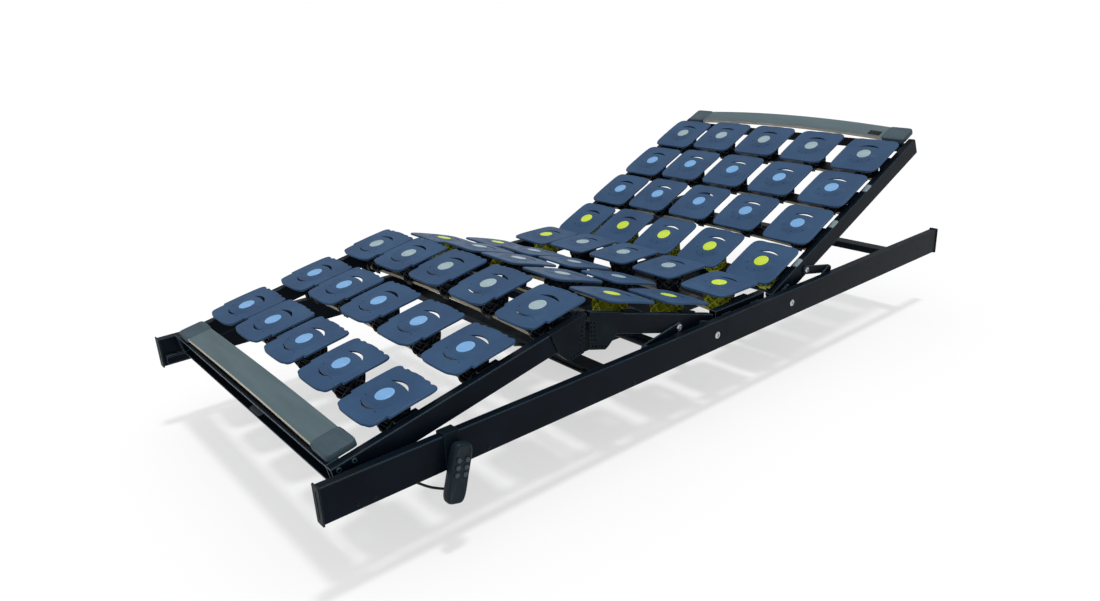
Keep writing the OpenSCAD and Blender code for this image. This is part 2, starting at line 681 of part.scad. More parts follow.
// Bolt of a lift link, through the section tube's outer wall
module link_bolt(y) both_sides() translate([0, y, pivot_z + link_rise]) {
    rod_x(tube_out, link_x + link_t + 0.4, pin_r);
    rod_x(link_x + link_t + 0.4, link_x + link_t + 3.4, pin_r + 3);
}
module thigh_pins() color(silver) place_thigh() {
    both_sides() translate([0, knee_y, knee_z]) {
        rod_x(tube_in - 2 * plate_hinge_t - 1, tube_out + cover_t + 1, pin_r);
        rod_x(tube_in - 2 * plate_hinge_t - 4, tube_in - 2 * plate_hinge_t - 1, pin_r + 3);
    }
    link_bolt(thigh_pivot_y - link_reach);
}

module back_frame() color(steel) place_back() {
    bar_y0 = back_end_y - 24;
    both_sides() {
        side_tubes(back_pivot_y - section_end, back_end_y);
        hinge_ear(back_pivot_y, 1);
    }
    bar_x(-tube_in, tube_in) tube_section(bar_y0, deck_z - 32, bar_y0 + 20, deck_z - 12);
}
module back_slats() color(wood) place_back() for (y = back_rows) cross_slat(y);
module back_slat_holders() color(black_plastic) place_back() for (y = back_rows) slat_holder(y);
module back_springs_soft() color(rubber_lime) place_back() springs(back_rows[0], all_columns);
module back_springs_firm() color(rubber_dark) place_back()
    for (i = [1:3]) springs(back_rows[i], all_columns);
head_slat_y = back_end_y + 3;
module head_end_slat() color("#5a6c74") place_back() end_slat(head_slat_y, head_slat_bow);
module head_end_slat_caps() color(slate_plastic) place_back() end_slat_cap(head_slat_y, head_slat_bow);
module back_pins() color(silver) place_back() link_bolt(back_pivot_y + link_reach);

module calf_plates() color(plate_blue) place_calf() for (y = calf_rows) row_of_plates(y);
module calf_discs() color("#7fb2e0") place_calf() for (y = calf_rows) row_of_discs(y);
module thigh_plates() color(plate_blue) place_thigh() for (y = thigh_rows) row_of_plates(y);
module thigh_discs() color("#a9c0c4") place_thigh() for (y = thigh_rows) row_of_discs(y);
module seat_plates() color(plate_blue) row_of_plates(seat_row_y);
module seat_discs() color("#a9c0c4") row_of_discs(seat_row_y);
module back_plates() color(plate_blue) place_back() for (y = back_rows) row_of_plates(y);
module back_discs() color("#cfe04a") place_back() for (y = back_rows) row_of_discs(y);

// ---------- handset ----------

module place_handset() translate([handset_x, handset_y, handset_z]) rotate([-handset_lean, 0, 0]) children();
shell_wall = 2;
function button_at(i) = [(i % 2 - 0.5) * button_pitch_y, button_top - floor(i / 2) * button_pitch_z];

module handset_shell() color("#20262c") place_handset() difference() {
    union() {
        bar_x(0, handset_t) rounded(-handset_w / 2, -handset_l / 2, handset_w / 2, handset_l / 2, 7);
        // Hanger lug on the back, open below for the hook's tongue, and the cord's strain relief
        bar_x(-lug_depth, 0) rounded(-9, lug_z[0], 9, lug_z[1], 3);
        translate([-4, 0, cord_exit_z]) rotate([0, 90, 0]) cylinder(r1 = 3.4, r2 = 5, h = 4.5);
    }
    translate([lug_wall - lug_depth, -tongue_half - fit, lug_z[0] - 1])
        cube([lug_depth - lug_wall, 2 * (tongue_half + fit), lug_z[1] - lug_z[0] - 3]);
    bar_x(shell_wall, handset_t - shell_wall)
        rounded(-handset_w / 2 + shell_wall, -handset_l / 2 + shell_wall,
            handset_w / 2 - shell_wall, handset_l / 2 - shell_wall, 5);
    for (i = [0:5]) translate([0, button_at(i)[0], button_at(i)[1]])
        rod_x(handset_t - shell_wall - 1, handset_t + 1, button_r + 0.15);
}

// A button with the flange that keeps it in the shell
module button(i) color("#5c6670") place_handset() translate([0, button_at(i)[0], button_at(i)[1]]) {
    rod_x(handset_t - shell_wall - 1, handset_t + button_rise, button_r);
    rod_x(handset_t - shell_wall - 1.8, handset_t - shell_wall - fit, button_r + 1);
}

// Hook: clipped over the rail, with a shelf and a tongue that the handset's lug hangs on
module handset_hook() color(black_plastic) {
    y0 = handset_y - hook_w / 2 + 4;
    leg = rail_out + fit + hook_t - 0.4;
    top = rail_h + fit + hook_t;
    shelf = handset_x - rail_out - fit;
    bar_y(y0, y0 + hook_w) polygon([
        [rail_in - fit - hook_t, rail_h - 22], [rail_in - fit, rail_h - 22], [rail_in - fit, rail_h + fit],
        [rail_out + fit, rail_h + fit], [rail_out + fit, 6], [leg, 6], [leg, top],
        [rail_in - fit - hook_t, top]]);
    place_handset() {
        translate([-shelf, -tongue_half, lug_z[0] - 8]) cube([shelf - fit, 2 * tongue_half, 8 - fit]);
        translate([lug_wall - lug_depth + fit, -tongue_half, lug_z[0] - 1])
            cube([lug_depth - lug_wall - 2 * fit, 2 * tongue_half, lug_z[1] - lug_z[0] - 4 - fit]);
    }
}

// ---------- cord ----------

// Unit vector of v
function unit(v) = v / norm(v);
// Catmull-Rom point between p1 and p2
function spline_at(p0, p1, p2, p3, t) = 0.5 * (2 * p1 + (p2 - p0) * t
    + (2 * p0 - 5 * p1 + 4 * p2 - p3) * t * t + (3 * p1 - p0 - 3 * p2 + p3) * t * t * t);
function smooth_path(p, per) = let (n = len(p)) concat(
    [for (i = [0:n - 2]) for (k = [0:per - 1])
        spline_at(p[max(i - 1, 0)], p[i], p[i + 1], p[min(i + 2, n - 1)], k / per)], [p[n - 1]]);

// Tube along a path. The rings' frames are carried along without twist
function carry(path, i, n0) = let (t = unit(path[min(i + 1, len(path) - 1)] - path[max(i - 1, 0)]),
    v = n0 - (n0 * t) * t) unit(v);
function frames(path, i = 0, n0 = [0, 0.3, 1]) = i >= len(path) ? []
    : let (n1 = carry(path, i, n0)) concat([n1], frames(path, i + 1, n1));

module sweep_tube(path, r, sides) {
    normals = frames(path);
    count = len(path);
    points = [for (i = [0:count - 1]) let (
        t = unit(path[min(i + 1, count - 1)] - path[max(i - 1, 0)]), b = cross(t, normals[i]))
        for (k = [0:sides - 1]) path[i] + r * (cos(360 * k / sides) * normals[i] + sin(360 * k / sides) * b)];
    faces = concat(
        [[for (k = [0:sides - 1]) k]],
        [for (i = [0:count - 2]) for (k = [0:sides - 1]) let (a = i * sides + k,
            b = i * sides + (k + 1) % sides) [a, a + sides, b + sides, b]],
        [[for (k = [sides - 1:-1:0]) (count - 1) * sides + k]]);
    polyhedron(points = points, faces = faces, convexity = 8);
}

module handset_cord() color("#111316") sweep_tube(smooth_path(cord_points, 2), cord_d / 2, 8);

// Clips that hold the cord to the rail and to the knee cross tube
module cord_clips() color(black_plastic) {
    clip_w = 10;
    slot = cord_d + 0.4;
    for (y = clip_ys) difference() {
        bar_y(y - clip_w / 2, y + clip_w / 2) rounded(rail_in - 8, 12 - 8, rail_in, 12 + 8, 1.5);
        translate([rail_in - 9, y - clip_w, 12 - slot / 2]) cube([8.1, 2 * clip_w, slot]);
    }
    for (x = clip_xs) difference() {
        bar_x(x - clip_w / 2, x + clip_w / 2)
            rounded(knee_cross_y - 7, cross_z, knee_cross_y, cross_z + 12, 1.5);
        translate([x - clip_w, knee_cross_y - 8, 6 - slot / 2]) cube([2 * clip_w, 7.6, slot]);
    }
}

side_rails();
rail_end_caps();
cross_tubes();
seat_frame();
rail_bolts();
seat_slat();
seat_slat_holders();
seat_springs();
foot_ledges();
shaft_bushes();
drive_lower_shell();
drive_cover();
drive_motors();
handset_hook();
handset_cord();
cord_clips();
calf_frame();
calf_slats();
calf_slat_holders();
calf_springs();
calf_knee_covers();
foot_end_slat();
foot_end_slat_caps();
calf_rollers();
thigh_frame();
thigh_slats();
thigh_slat_holders();
thigh_springs_soft();
thigh_springs_firm();
thigh_knee_covers();
thigh_pins();
calf_plates();
calf_discs();
thigh_plates();
thigh_discs();
seat_plates();
seat_discs();
back_plates();
back_discs();
back_frame();
back_slats();
back_slat_holders();
back_springs_soft();
back_springs_firm();
head_end_slat();
head_end_slat_caps();
back_pins();
leg_shaft();
back_shaft();
leg_links();
back_links();
leg_drive_nut();
back_drive_nut();
handset_shell();
button(0);  // button_back_up
button(1);  // button_back_down
button(2);  // button_legs_up
button(3);  // button_legs_down
button(4);  // button_both_up
button(5);  // button_both_down
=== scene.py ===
"""Looks of the adjustable bed base: finishes, finer pieces, light and camera.

Every length in this file is in millimetres until a mesh is made, where it becomes metres.
Flat places are those of the bed with all of its sections level; a Section turns them to rest.
"""

import logging
import math
from collections.abc import Iterable, Sequence
from dataclasses import dataclass, field
from enum import Enum

import bmesh
import bpy
import numpy as np
from mathutils import Matrix, Vector


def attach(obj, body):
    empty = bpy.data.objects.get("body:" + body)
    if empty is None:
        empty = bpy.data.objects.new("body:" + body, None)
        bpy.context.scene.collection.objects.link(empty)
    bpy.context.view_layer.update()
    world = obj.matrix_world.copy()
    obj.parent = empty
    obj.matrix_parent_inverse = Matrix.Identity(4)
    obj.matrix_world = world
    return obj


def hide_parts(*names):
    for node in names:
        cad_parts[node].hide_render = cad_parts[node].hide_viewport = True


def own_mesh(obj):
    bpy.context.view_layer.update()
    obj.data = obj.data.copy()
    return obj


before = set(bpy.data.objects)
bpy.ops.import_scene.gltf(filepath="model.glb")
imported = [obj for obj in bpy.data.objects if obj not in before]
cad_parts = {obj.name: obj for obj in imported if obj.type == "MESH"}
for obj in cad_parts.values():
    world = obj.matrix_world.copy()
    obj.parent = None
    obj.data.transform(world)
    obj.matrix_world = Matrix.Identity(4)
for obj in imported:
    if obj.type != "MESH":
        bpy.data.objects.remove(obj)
LOG = logging.getLogger("bed_base")
MM = 0.001


# ---------------------------------------------------------------- colours and nodes


def linear(hex_colour: str) -> tuple[float, float, float, float]:
    """Turn an sRGB hex colour into linear RGBA.

    Args:
        hex_colour: Six hex digits after a hash sign.

    Returns:
        Linear red, green, blue and an alpha of one.
    """
    parts = [int(hex_colour[i:i + 2], 16) / 255 for i in (1, 3, 5)]
    low = [c / 12.92 if c <= 0.04045 else ((c + 0.055) / 1.055) ** 2.4 for c in parts]
    return (low[0], low[1], low[2], 1.0)


def add_node(tree: bpy.types.NodeTree, kind: str, inputs: dict | None = None,
             **settings: object) -> bpy.types.Node:
    """Add a node with its settings, and set or link its inputs.

    Args:
        tree: The node tree that gets the node.
        kind: The node's type name.
        inputs: Input name or index to a value or to the socket that feeds it.
        **settings: Properties of the node.

    Returns:
        The new node.
    """
    made = tree.nodes.new(kind)
    for name, value in settings.items():
        setattr(made, name, value)
    for key, value in (inputs or {}).items():
        if isinstance(value, bpy.types.NodeSocket):
            tree.links.new(value, made.inputs[key])
        else:
            made.inputs[key].default_value = value
    return made


def mix_colours(tree: bpy.types.NodeTree, share: bpy.types.NodeSocket, first: object,
                second: object) -> bpy.types.NodeSocket:
    """Blend two colours, each a socket or a linear colour, by the second one's share."""
    mixed = add_node(tree, "ShaderNodeMix", {0: share, 6: first, 7: second}, data_type="RGBA")
    return mixed.outputs[2]


def ramp(tree: bpy.types.NodeTree, value: bpy.types.NodeSocket, low: float, high: float,
         to_low: float = 0.0, to_high: float = 1.0) -> bpy.types.NodeSocket:
    """Map a value straight from one range to another, clamped at its ends."""
    spread = add_node(tree, "ShaderNodeMapRange",
                      {"Value": value, "From Min": low, "From Max": high, "To Min": to_low,
                       "To Max": to_high})
    return spread.outputs["Result"]


def per_metre(size_mm: float) -> float:
    """Scale of a texture whose features are size_mm apart."""
    return 1.0 / (size_mm * MM)


@dataclass(frozen=True)
class Finish:
    """A finish: base and second colour, gloss, the grain of its surface, and where rim is given a
    painted highlight along its edges.
    """

    name: str
    base: str
    second: str
    roughness: tuple[float, float] = (0.4, 0.55)
    metallic: float = 0.0
    ior: float = 1.5
    specular: float = 0.5
    blotch_mm: float = 60.0
    grain_mm: float = 1.2
    grain_depth_mm: float = 0.05
    stretch: tuple[float, float, float] = (1.0, 1.0, 1.0)
    # rim: colour of a painted highlight along edges, or None; rim_mm: the highlight's width
    rim: str | None = None
    rim_mm: float = 1.6

    def colour(self, tree: bpy.types.NodeTree, at: bpy.types.NodeSocket) -> bpy.types.NodeSocket:
        """Mix the two colours by broad noise, as uneven pigment and handling leave them.

        Args:
            tree: The material's node tree.
            at: The place on the surface.

        Returns:
            The colour's socket.
        """
        blotch = add_node(tree, "ShaderNodeTexNoise",
                          {"Vector": at, "Scale": per_metre(self.blotch_mm), "Detail": 5.0})
        return mix_colours(tree, ramp(tree, blotch.outputs["Fac"], 0.3, 0.7),
                           linear(self.base), linear(self.second))

    def edge_highlight(self, tree: bpy.types.NodeTree, colour: bpy.types.NodeSocket) -> bpy.types.NodeSocket:
        """Paint a highlight along edges: lighten the colour where a rounded edge's normal leaves
        the face's own.

        Args:
            tree: The material's node tree.
            colour: The colour away from the edges.

        Returns:
            The colour's socket.
        """
        own = add_node(tree, "ShaderNodeNewGeometry")
        soft = add_node(tree, "ShaderNodeBevel", {"Radius": self.rim_mm * MM}, samples=4)
        match = add_node(tree, "ShaderNodeVectorMath",
                         {0: own.outputs["Normal"], 1: soft.outputs["Normal"]},
                         operation="DOT_PRODUCT")
        # Painted highlight: the more the bevelled normal turns from the face's own, the more of
        # the rim colour
        rim = ramp(tree, match.outputs["Value"], 0.99, 0.82)
        return mix_colours(tree, rim, colour, linear(self.rim))

    def build(self) -> bpy.types.Material:
        """Build the material once and return it."""
        material = bpy.data.materials.get(self.name)
        if material:
            return material
        material = bpy.data.materials.new(self.name)
        material.use_nodes = True
        tree = material.node_tree
        shader = tree.nodes["Principled BSDF"]
        place = add_node(tree, "ShaderNodeTexCoord")
        at = add_node(tree, "ShaderNodeMapping",
                      {"Vector": place.outputs["Object"], "Scale": self.stretch}).outputs["Vector"]
        colour = self.colour(tree, at)
        # Painted highlight along edges, for finishes that have a rim colour
        colour = self.edge_highlight(tree, colour) if self.rim else colour
        tree.links.new(colour, shader.inputs["Base Color"])
        grain = add_node(tree, "ShaderNodeTexNoise",
                         {"Vector": at, "Scale": per_metre(self.grain_mm), "Detail": 3.0})
        scuff = add_node(tree, "ShaderNodeTexNoise",
                         {"Vector": at, "Scale": per_metre(18.0), "Detail": 8.0, "Roughness": 0.7})
        gloss = ramp(tree, scuff.outputs["Fac"], 0.35, 0.7, *self.roughness)
        bump = add_node(tree, "ShaderNodeBump",
                        {"Height": grain.outputs["Fac"], "Strength": 1.0,
                         "Distance": self.grain_depth_mm * MM})
        tree.links.new(gloss, shader.inputs["Roughness"])
        tree.links.new(bump.outputs["Normal"], shader.inputs["Normal"])
        shader.inputs["Metallic"].default_value = self.metallic
        shader.inputs["IOR"].default_value = self.ior
        shader.inputs["Specular IOR Level"].default_value = self.specular
        return material


@dataclass(frozen=True)
class FilmFacedPlywood(Finish):
    """Beech plywood with a printed film on its faces; its cut edges show pale plies.

    tilt is the slat's lean about X, which tells its faces from its edges.
    """

    tilt: float = 0.0
    edge: str = "#b9b29b"
    edge_dark: str = "#8d8468"
    ply_mm: float = 1.4

    def colour(self, tree: bpy.types.NodeTree, at: bpy.types.NodeSocket) -> bpy.types.NodeSocket:
        """Film where the surface faces along the slat's normal, and plies where it faces away.

        Args:
            tree: The material's node tree.
            at: The place on the surface.

        Returns:
            The colour's socket.
        """
        film = super().colour(tree, at)
        lean = math.radians(self.tilt)
        up = (0.0, -math.sin(lean), math.cos(lean))
        place = add_node(tree, "ShaderNodeTexCoord")
        facing = add_node(tree, "ShaderNodeVectorMath", {0: place.outputs["Normal"], 1: up},
                          operation="DOT_PRODUCT")
        flat = add_node(tree, "ShaderNodeMath", {0: facing.outputs["Value"]}, operation="ABSOLUTE")
        is_edge = ramp(tree, flat.outputs[0], 0.75, 0.55)
        height = add_node(tree, "ShaderNodeVectorMath", {0: place.outputs["Object"], 1: up},
                          operation="DOT_PRODUCT")
        turns = add_node(tree, "ShaderNodeMath",
                         {0: height.outputs["Value"], 1: 2 * math.pi * per_metre(2 * self.ply_mm)},
                         operation="MULTIPLY")
        wave = add_node(tree, "ShaderNodeMath", {0: turns.outputs[0]}, operation="SINE")
        plies = mix_colours(tree, ramp(tree, wave.outputs[0], -0.4, 0.4),
                            linear(self.edge_dark), linear(self.edge))
        return mix_colours(tree, is_edge, film, plies)


# Powder coat on steel: a fine orange peel, satin, near black with a blue cast; its rim colour is a
# painted highlight along edges
POWDER_COAT = Finish("powder_coated_steel", "#060d15", "#0a141e", (0.3, 0.42), ior=1.52,
                     specular=0.05, grain_mm=2.2, grain_depth_mm=0.06, rim="#5a6d7a",
                     rim_mm=2.6)
# Polypropylene, moulded with a fine spark-eroded texture: matt, even and slightly soft
# The black polypropylene's rim colour is a painted highlight along edges
BLACK_PP = Finish("moulded_black_polypropylene", "#0a1117", "#101a21", (0.4, 0.54), ior=1.49,
                  specular=0.05, grain_mm=0.9, grain_depth_mm=0.06, rim="#2b3842")
SLATE_PP = Finish("moulded_slate_polypropylene", "#31424c", "#3b4d57", (0.42, 0.56), ior=1.49,
                  specular=0.22, grain_mm=1.0, grain_depth_mm=0.05)
PLATE_PP = Finish("moulded_blue_polypropylene", "#223f60", "#2a4a6b", (0.38, 0.52), ior=1.49,
                  specular=0.18, blotch_mm=90.0, grain_mm=1.1, grain_depth_mm=0.05)
PALE_PP = Finish("moulded_pale_polypropylene", "#75888f", "#82959c", (0.4, 0.52), ior=1.49,
                 specular=0.3, grain_mm=1.0, grain_depth_mm=0.05)
# Acetal discs: smoother and a little glossy
BLUE_DISC, GREY_DISC, LIME_DISC = (
    Finish(f"moulded_{name}_acetal", base, second, (0.32, 0.42), ior=1.48, specular=0.3,
           grain_mm=0.8, grain_depth_mm=0.02)
    for name, base, second in (("sky_blue", "#6a9bcb", "#78a7d4"),
                               ("pale_grey", "#8a9fa6", "#96abb1"),
                               ("lime", "#b9cf34", "#c6dc42")))
# Thermoplastic elastomer: matt and rubbery, with a dusty bloom
DARK_TPE = Finish("dark_elastomer", "#0c1119", "#141b26", (0.5, 0.66), ior=1.5,
                  specular=0.25, grain_mm=1.6, grain_depth_mm=0.05)
LIME_TPE = Finish("olive_lime_elastomer", "#8b9114", "#a3aa26", (0.45, 0.6), ior=1.5,
                  specular=0.25, grain_mm=1.6, grain_depth_mm=0.05)
# Zinc-plated steel: turned and passivated, with a cloudy sheen
ZINC = Finish("zinc_plated_steel", "#a4a9ad", "#c0c5c8", (0.25, 0.42), metallic=1.0,
              blotch_mm=4.0, grain_mm=0.6, grain_depth_mm=0.02)
BLACK_ZINC = Finish("black_zinc_screws", "#191c20", "#262a2f", (0.3, 0.45), metallic=1.0,
                    blotch_mm=4.0, grain_mm=0.6, grain_depth_mm=0.02)
ACETAL = Finish("natural_acetal", "#bdbdb5", "#cacac4", (0.35, 0.45), ior=1.48)
PVC_CORD = Finish("pvc_cord_sheath", "#0b0d0f", "#131618", (0.4, 0.5), ior=1.53,
                  specular=0.25, blotch_mm=20.0, grain_mm=0.8, grain_depth_mm=0.03)
BUTTON_PP = Finish("moulded_grey_buttons", "#2b353c", "#35404a", (0.38, 0.48), ior=1.49,
                   specular=0.3)
HANDSET_ABS = Finish("moulded_graphite_abs", "#0f1920", "#15222a", (0.36, 0.5), ior=1.53,
                     specular=0.12, grain_mm=0.8, grain_depth_mm=0.04)
LABEL_FILM = Finish("blank_label_film", "#4a5560", "#56616b", (0.3, 0.4), ior=1.5)
# Near-black strip of painted shade, standing for the shade in the head slat's handle recess
RECESS_SHADE = Finish("painted_recess_shadow", "#08090a", "#0e1012", (0.6, 0.75), ior=1.49,
                specular=0.2)


# ---------------------------------------------------------------- shapes


def linked(name: str, data: bpy.types.ID) -> bpy.types.Object:
    """Make an object of the data and put it in the scene."""
    made = bpy.data.objects.new(name, data)
    bpy.context.scene.collection.objects.link(made)
    return made


@dataclass
class Shell:
    """Faces of a surface: vertices in mm, quads and triangles, and each face's finish number."""

    verts: np.ndarray
    quads: np.ndarray
    tris: np.ndarray
    quad_finish: np.ndarray
    tri_finish: np.ndarray

    @staticmethod
    def of_grid(points: np.ndarray, wrap_rows: bool = False, wrap_columns: bool = True) -> "Shell":
        """Join a grid of points into faces, and weld its seams and poles.

        A face joins each point to its next row and next column; a row of equal points is a pole.

        Args:
            points: Grid of places, rows by columns by three.
            wrap_rows: True where the last row joins the first.
            wrap_columns: True where the last column joins the first.

        Returns:
            The welded shell.
        """
        rows, columns = points.shape[:2]
        index = np.arange(rows * columns).reshape(rows, columns)
        below = np.roll(index, -1, axis=0)
        right = np.roll(index, -1, axis=1)
        across = np.roll(below, -1, axis=1)
        faces = np.stack([index, right, across, below], axis=-1)
        faces = faces if wrap_rows else faces[:-1]
        faces = faces if wrap_columns else faces[:, :-1]
        return Shell.welded(points.reshape(-1, 3), faces.reshape(-1, 4))

    @staticmethod
    def welded(verts: np.ndarray, faces: np.ndarray) -> "Shell":
        """Merge vertices nearer than a tenth of a micron, and drop what collapses.

        Args:
            verts: Places, n by three.
            faces: Corner numbers, m by four.

        Returns:
            A shell of quads, and of triangles where a quad lost a corner.
        """
        places, number = np.unique(np.round(verts, 4), axis=0, return_inverse=True)
        corner = number.reshape(-1)[faces]
        same = corner == np.roll(corner, -1, axis=1)
        lost = same.sum(axis=1)
        quads = corner[lost == 0]
        three = corner[lost == 1]
        keep = ~same[lost == 1]
        tris = three[keep].reshape(-1, 3)
        return Shell(places, quads, tris, np.zeros(len(quads), int), np.zeros(len(tris), int))

    @staticmethod
    def joined(shells: Iterable["Shell"]) -> "Shell":
        """Put shells side by side in one, each keeping its own faces."""
        parts = list(shells)
        start = np.cumsum([0] + [len(s.verts) for s in parts[:-1]])
        return Shell(
            np.concatenate([s.verts for s in parts]),
            np.concatenate([s.quads + n for s, n in zip(parts, start)]),
            np.concatenate([s.tris + n for s, n in zip(parts, start)]),
            np.concatenate([s.quad_finish for s in parts]),
            np.concatenate([s.tri_finish for s in parts]))

    def moved(self, shift: Sequence[float], finish: int | None = None) -> "Shell":
        """Copy the shell to another place.

        Args:
            shift: How far along X, Y and Z.
            finish: The finish number of all its faces, or None to keep them.

        Returns:
            The moved copy.
        """
        quads, tris = self.quad_finish, self.tri_finish
        if finish is not None:
            quads, tris = np.full_like(quads, finish), np.full_like(tris, finish)
        return Shell(self.verts + np.array(shift, float), self.quads, self.tris, quads, tris)

    def at(self, verts: np.ndarray) -> "Shell":
        """Copy the shell with its vertices at other places."""
        return Shell(verts, self.quads, self.tris, self.quad_finish, self.tri_finish)

    def mirrored(self) -> "Shell":
        """Mirror the shell in the bed's centre plane, with its faces turned back outwards."""
        return Shell(self.verts * (-1, 1, 1), self.quads[:, ::-1], self.tris[:, ::-1],
                     self.quad_finish, self.tri_finish)

    def mesh(self, name: str, smooth_under: float = 35.0) -> bpy.types.Mesh:
        """Write the shell into a Blender mesh, in metres.

        Args:
            name: The mesh's name.
            smooth_under: Edges that turn by less than this many degrees are smooth.

        Returns:
            The mesh.
        """
        made = bpy.data.meshes.new(name)
        corners = np.concatenate([self.quads.reshape(-1), self.tris.reshape(-1)])
        starts = np.concatenate([np.arange(len(self.quads)) * 4,
                                 len(self.quads) * 4 + np.arange(len(self.tris)) * 3])
        made.vertices.add(len(self.verts))
        made.vertices.foreach_set("co", (self.verts * MM).astype(np.float32).reshape(-1))
        made.loops.add(len(corners))
        made.loops.foreach_set("vertex_index", corners.astype(np.int32))
        made.polygons.add(len(starts))
        made.polygons.foreach_set("loop_start", starts.astype(np.int32))
        finish = np.concatenate([self.quad_finish, self.tri_finish])
        made.polygons.foreach_set("material_index", finish.astype(np.int32))
        made.update(calc_edges=True)
        made.validate()
        made.polygons.foreach_set("use_smooth", np.ones(len(starts), bool))
        made.set_sharp_from_angle(angle=math.radians(smooth_under))
        return made

    def outward(self, cutter: "Shell | None" = None) -> "Shell":
        """Turn all faces outwards, after taking the cutter's solids away.

        Args:
            cutter: Closed solids to cut away, or None.

        Returns:
            The shell, with faces of three or four corners.
        """
        body = linked("shell", self.mesh("shell"))
        if cutter is not None:
            tool = linked("cutter", cutter.outward().mesh("cutter"))
            cut = body.modifiers.new("cut", "BOOLEAN")
            cut.object, cut.operation, cut.solver = tool, "DIFFERENCE", "EXACT"
        shown = body.evaluated_get(bpy.context.evaluated_depsgraph_get())
        work = bmesh.new()
        work.from_mesh(shown.to_mesh())
        bmesh.ops.remove_doubles(work, verts=work.verts, dist=1e-6)
        bmesh.ops.recalc_face_normals(work, faces=work.faces)
        bmesh.ops.triangulate(work, faces=[f for f in work.faces if len(f.verts) > 4])
        verts = np.array([v.co[:] for v in work.verts]) / MM
        quads = [[v.index for v in f.verts] for f in work.faces if len(f.verts) == 4]
        tris = [[v.index for v in f.verts] for f in work.faces if len(f.verts) == 3]
        work.free()
        for used in [body] + ([tool] if cutter is not None else []):
            bpy.data.objects.remove(used)
        return Shell(verts, np.array(quads, int).reshape(-1, 4),
                     np.array(tris, int).reshape(-1, 3),
                     np.zeros(len(quads), int), np.zeros(len(tris), int))


def around(count: int) -> np.ndarray:
    """Angles of count equal steps round a circle, in radians."""
    return np.arange(count) * 2 * math.pi / count


def round_square(steps: int, power: float) -> np.ndarray:
    """Outline of a square of half size one with round corners: x = sign(cos a) |cos a|^power.

    Args:
        steps: Points round the outline.
        power: Below one; the smaller it is, the sharper are the corners.

    Returns:
        Points in X and Y.
    """
    a = around(steps)
    turn = np.column_stack([np.cos(a), np.sin(a)])
    return np.sign(turn) * np.abs(turn) ** power


def turned_profile(radii: np.ndarray, heights: np.ndarray, steps: int) -> Shell:
    """Carry a profile round Z: x = r cos a, y = r sin a, z = height.

    Args:
        radii: Radius of each profile point, or a grid of profile points by angles.
        heights: Height of each profile point, or such a grid.
        steps: Steps round the axis.

    Returns:
        The closed shell.
    """
    angle = around(steps)
    radii = np.broadcast_to(radii[:, None] if radii.ndim == 1 else radii, (len(radii), steps))
    heights = np.broadcast_to(heights[:, None] if heights.ndim == 1 else heights, radii.shape)
    grid = np.stack([radii * np.cos(angle), radii * np.sin(angle), heights], axis=-1)
    return Shell.of_grid(grid)


def turned_along_x(radii: np.ndarray, places: np.ndarray, steps: int) -> Shell:
    """Carry a profile round X; see turned_profile."""
    shell = turned_profile(radii, places, steps)
    return shell.at(shell.verts[:, [2, 0, 1]])


def prism(outline: np.ndarray, low: float, high: float) -> Shell:
    """Closed prism on a flat outline, with its faces fanned from the outline's middle.

    Args:
        outline: Points in X and Y, n by two.
        low: Height of its floor.
        high: Height of its top.

    Returns:
        The closed shell.
    """
    middle = np.broadcast_to(outline.mean(axis=0), outline.shape)
    rows = [(middle, low), (outline, low), (outline, high), (middle, high)]
    return Shell.of_grid(np.stack([np.column_stack([p, np.full(len(p), z)]) for p, z in rows]))


def crescent(half: float, place: float, sag: float, rise: float, steps: int = 16) -> np.ndarray:
    """Outline between two arcs that share their ends: y = place + rise (1 - (x / half)^2).

    Args:
        half: Half of its width along X.
        place: Y of its ends.
        sag: Rise of the lower arc.
        rise: Rise of the upper arc.
        steps: Steps along each arc.

    Returns:
        Points in X and Y.
    """
    s = np.linspace(-1, 1, steps + 1)
    upper = np.column_stack([half * s, place + rise * (1 - s ** 2)])
    lower = np.column_stack([half * s, place + sag * (1 - s ** 2)])[::-1][1:-1]
    return np.concatenate([upper, lower])


def swept_bar(path_x: np.ndarray, bow: np.ndarray, half_w: float, height: float, corner: float,
              steps: int = 5) -> Shell:
    """Bar with round corners along X: each section is a rounded box, lifted by the bow there.

    Args:
        path_x: Places along X.
        bow: Lift of the bar at each place.
        half_w: Half of its width along Y.
        height: Its thickness.
        corner: Radius of its long edges.
        steps: Steps round each corner.

    Returns:
        The closed shell.
    """
    a = np.linspace(0, math.pi / 2, steps)
    quarter = np.concatenate([a, a + math.pi / 2, a + math.pi, a + 3 * math.pi / 2])
    side = np.repeat([half_w - corner, corner - half_w, corner - half_w, half_w - corner], steps)
    lift = np.repeat([height - corner, height - corner, corner, corner], steps)
    y = side + corner * np.cos(quarter)
    z = lift + corner * np.sin(quarter)
    rows = [np.column_stack([np.full(len(y), x), y, z + b]) for x, b in zip(path_x, bow)]
    ends = [np.broadcast_to((r[0, 0], 0.0, height / 2 + b), r.shape)
            for r, b in ((rows[0], bow[0]), (rows[-1], bow[-1]))]
    return Shell.of_grid(np.stack([ends[0]] + rows + [ends[1]]))


# ---------------------------------------------------------------- places


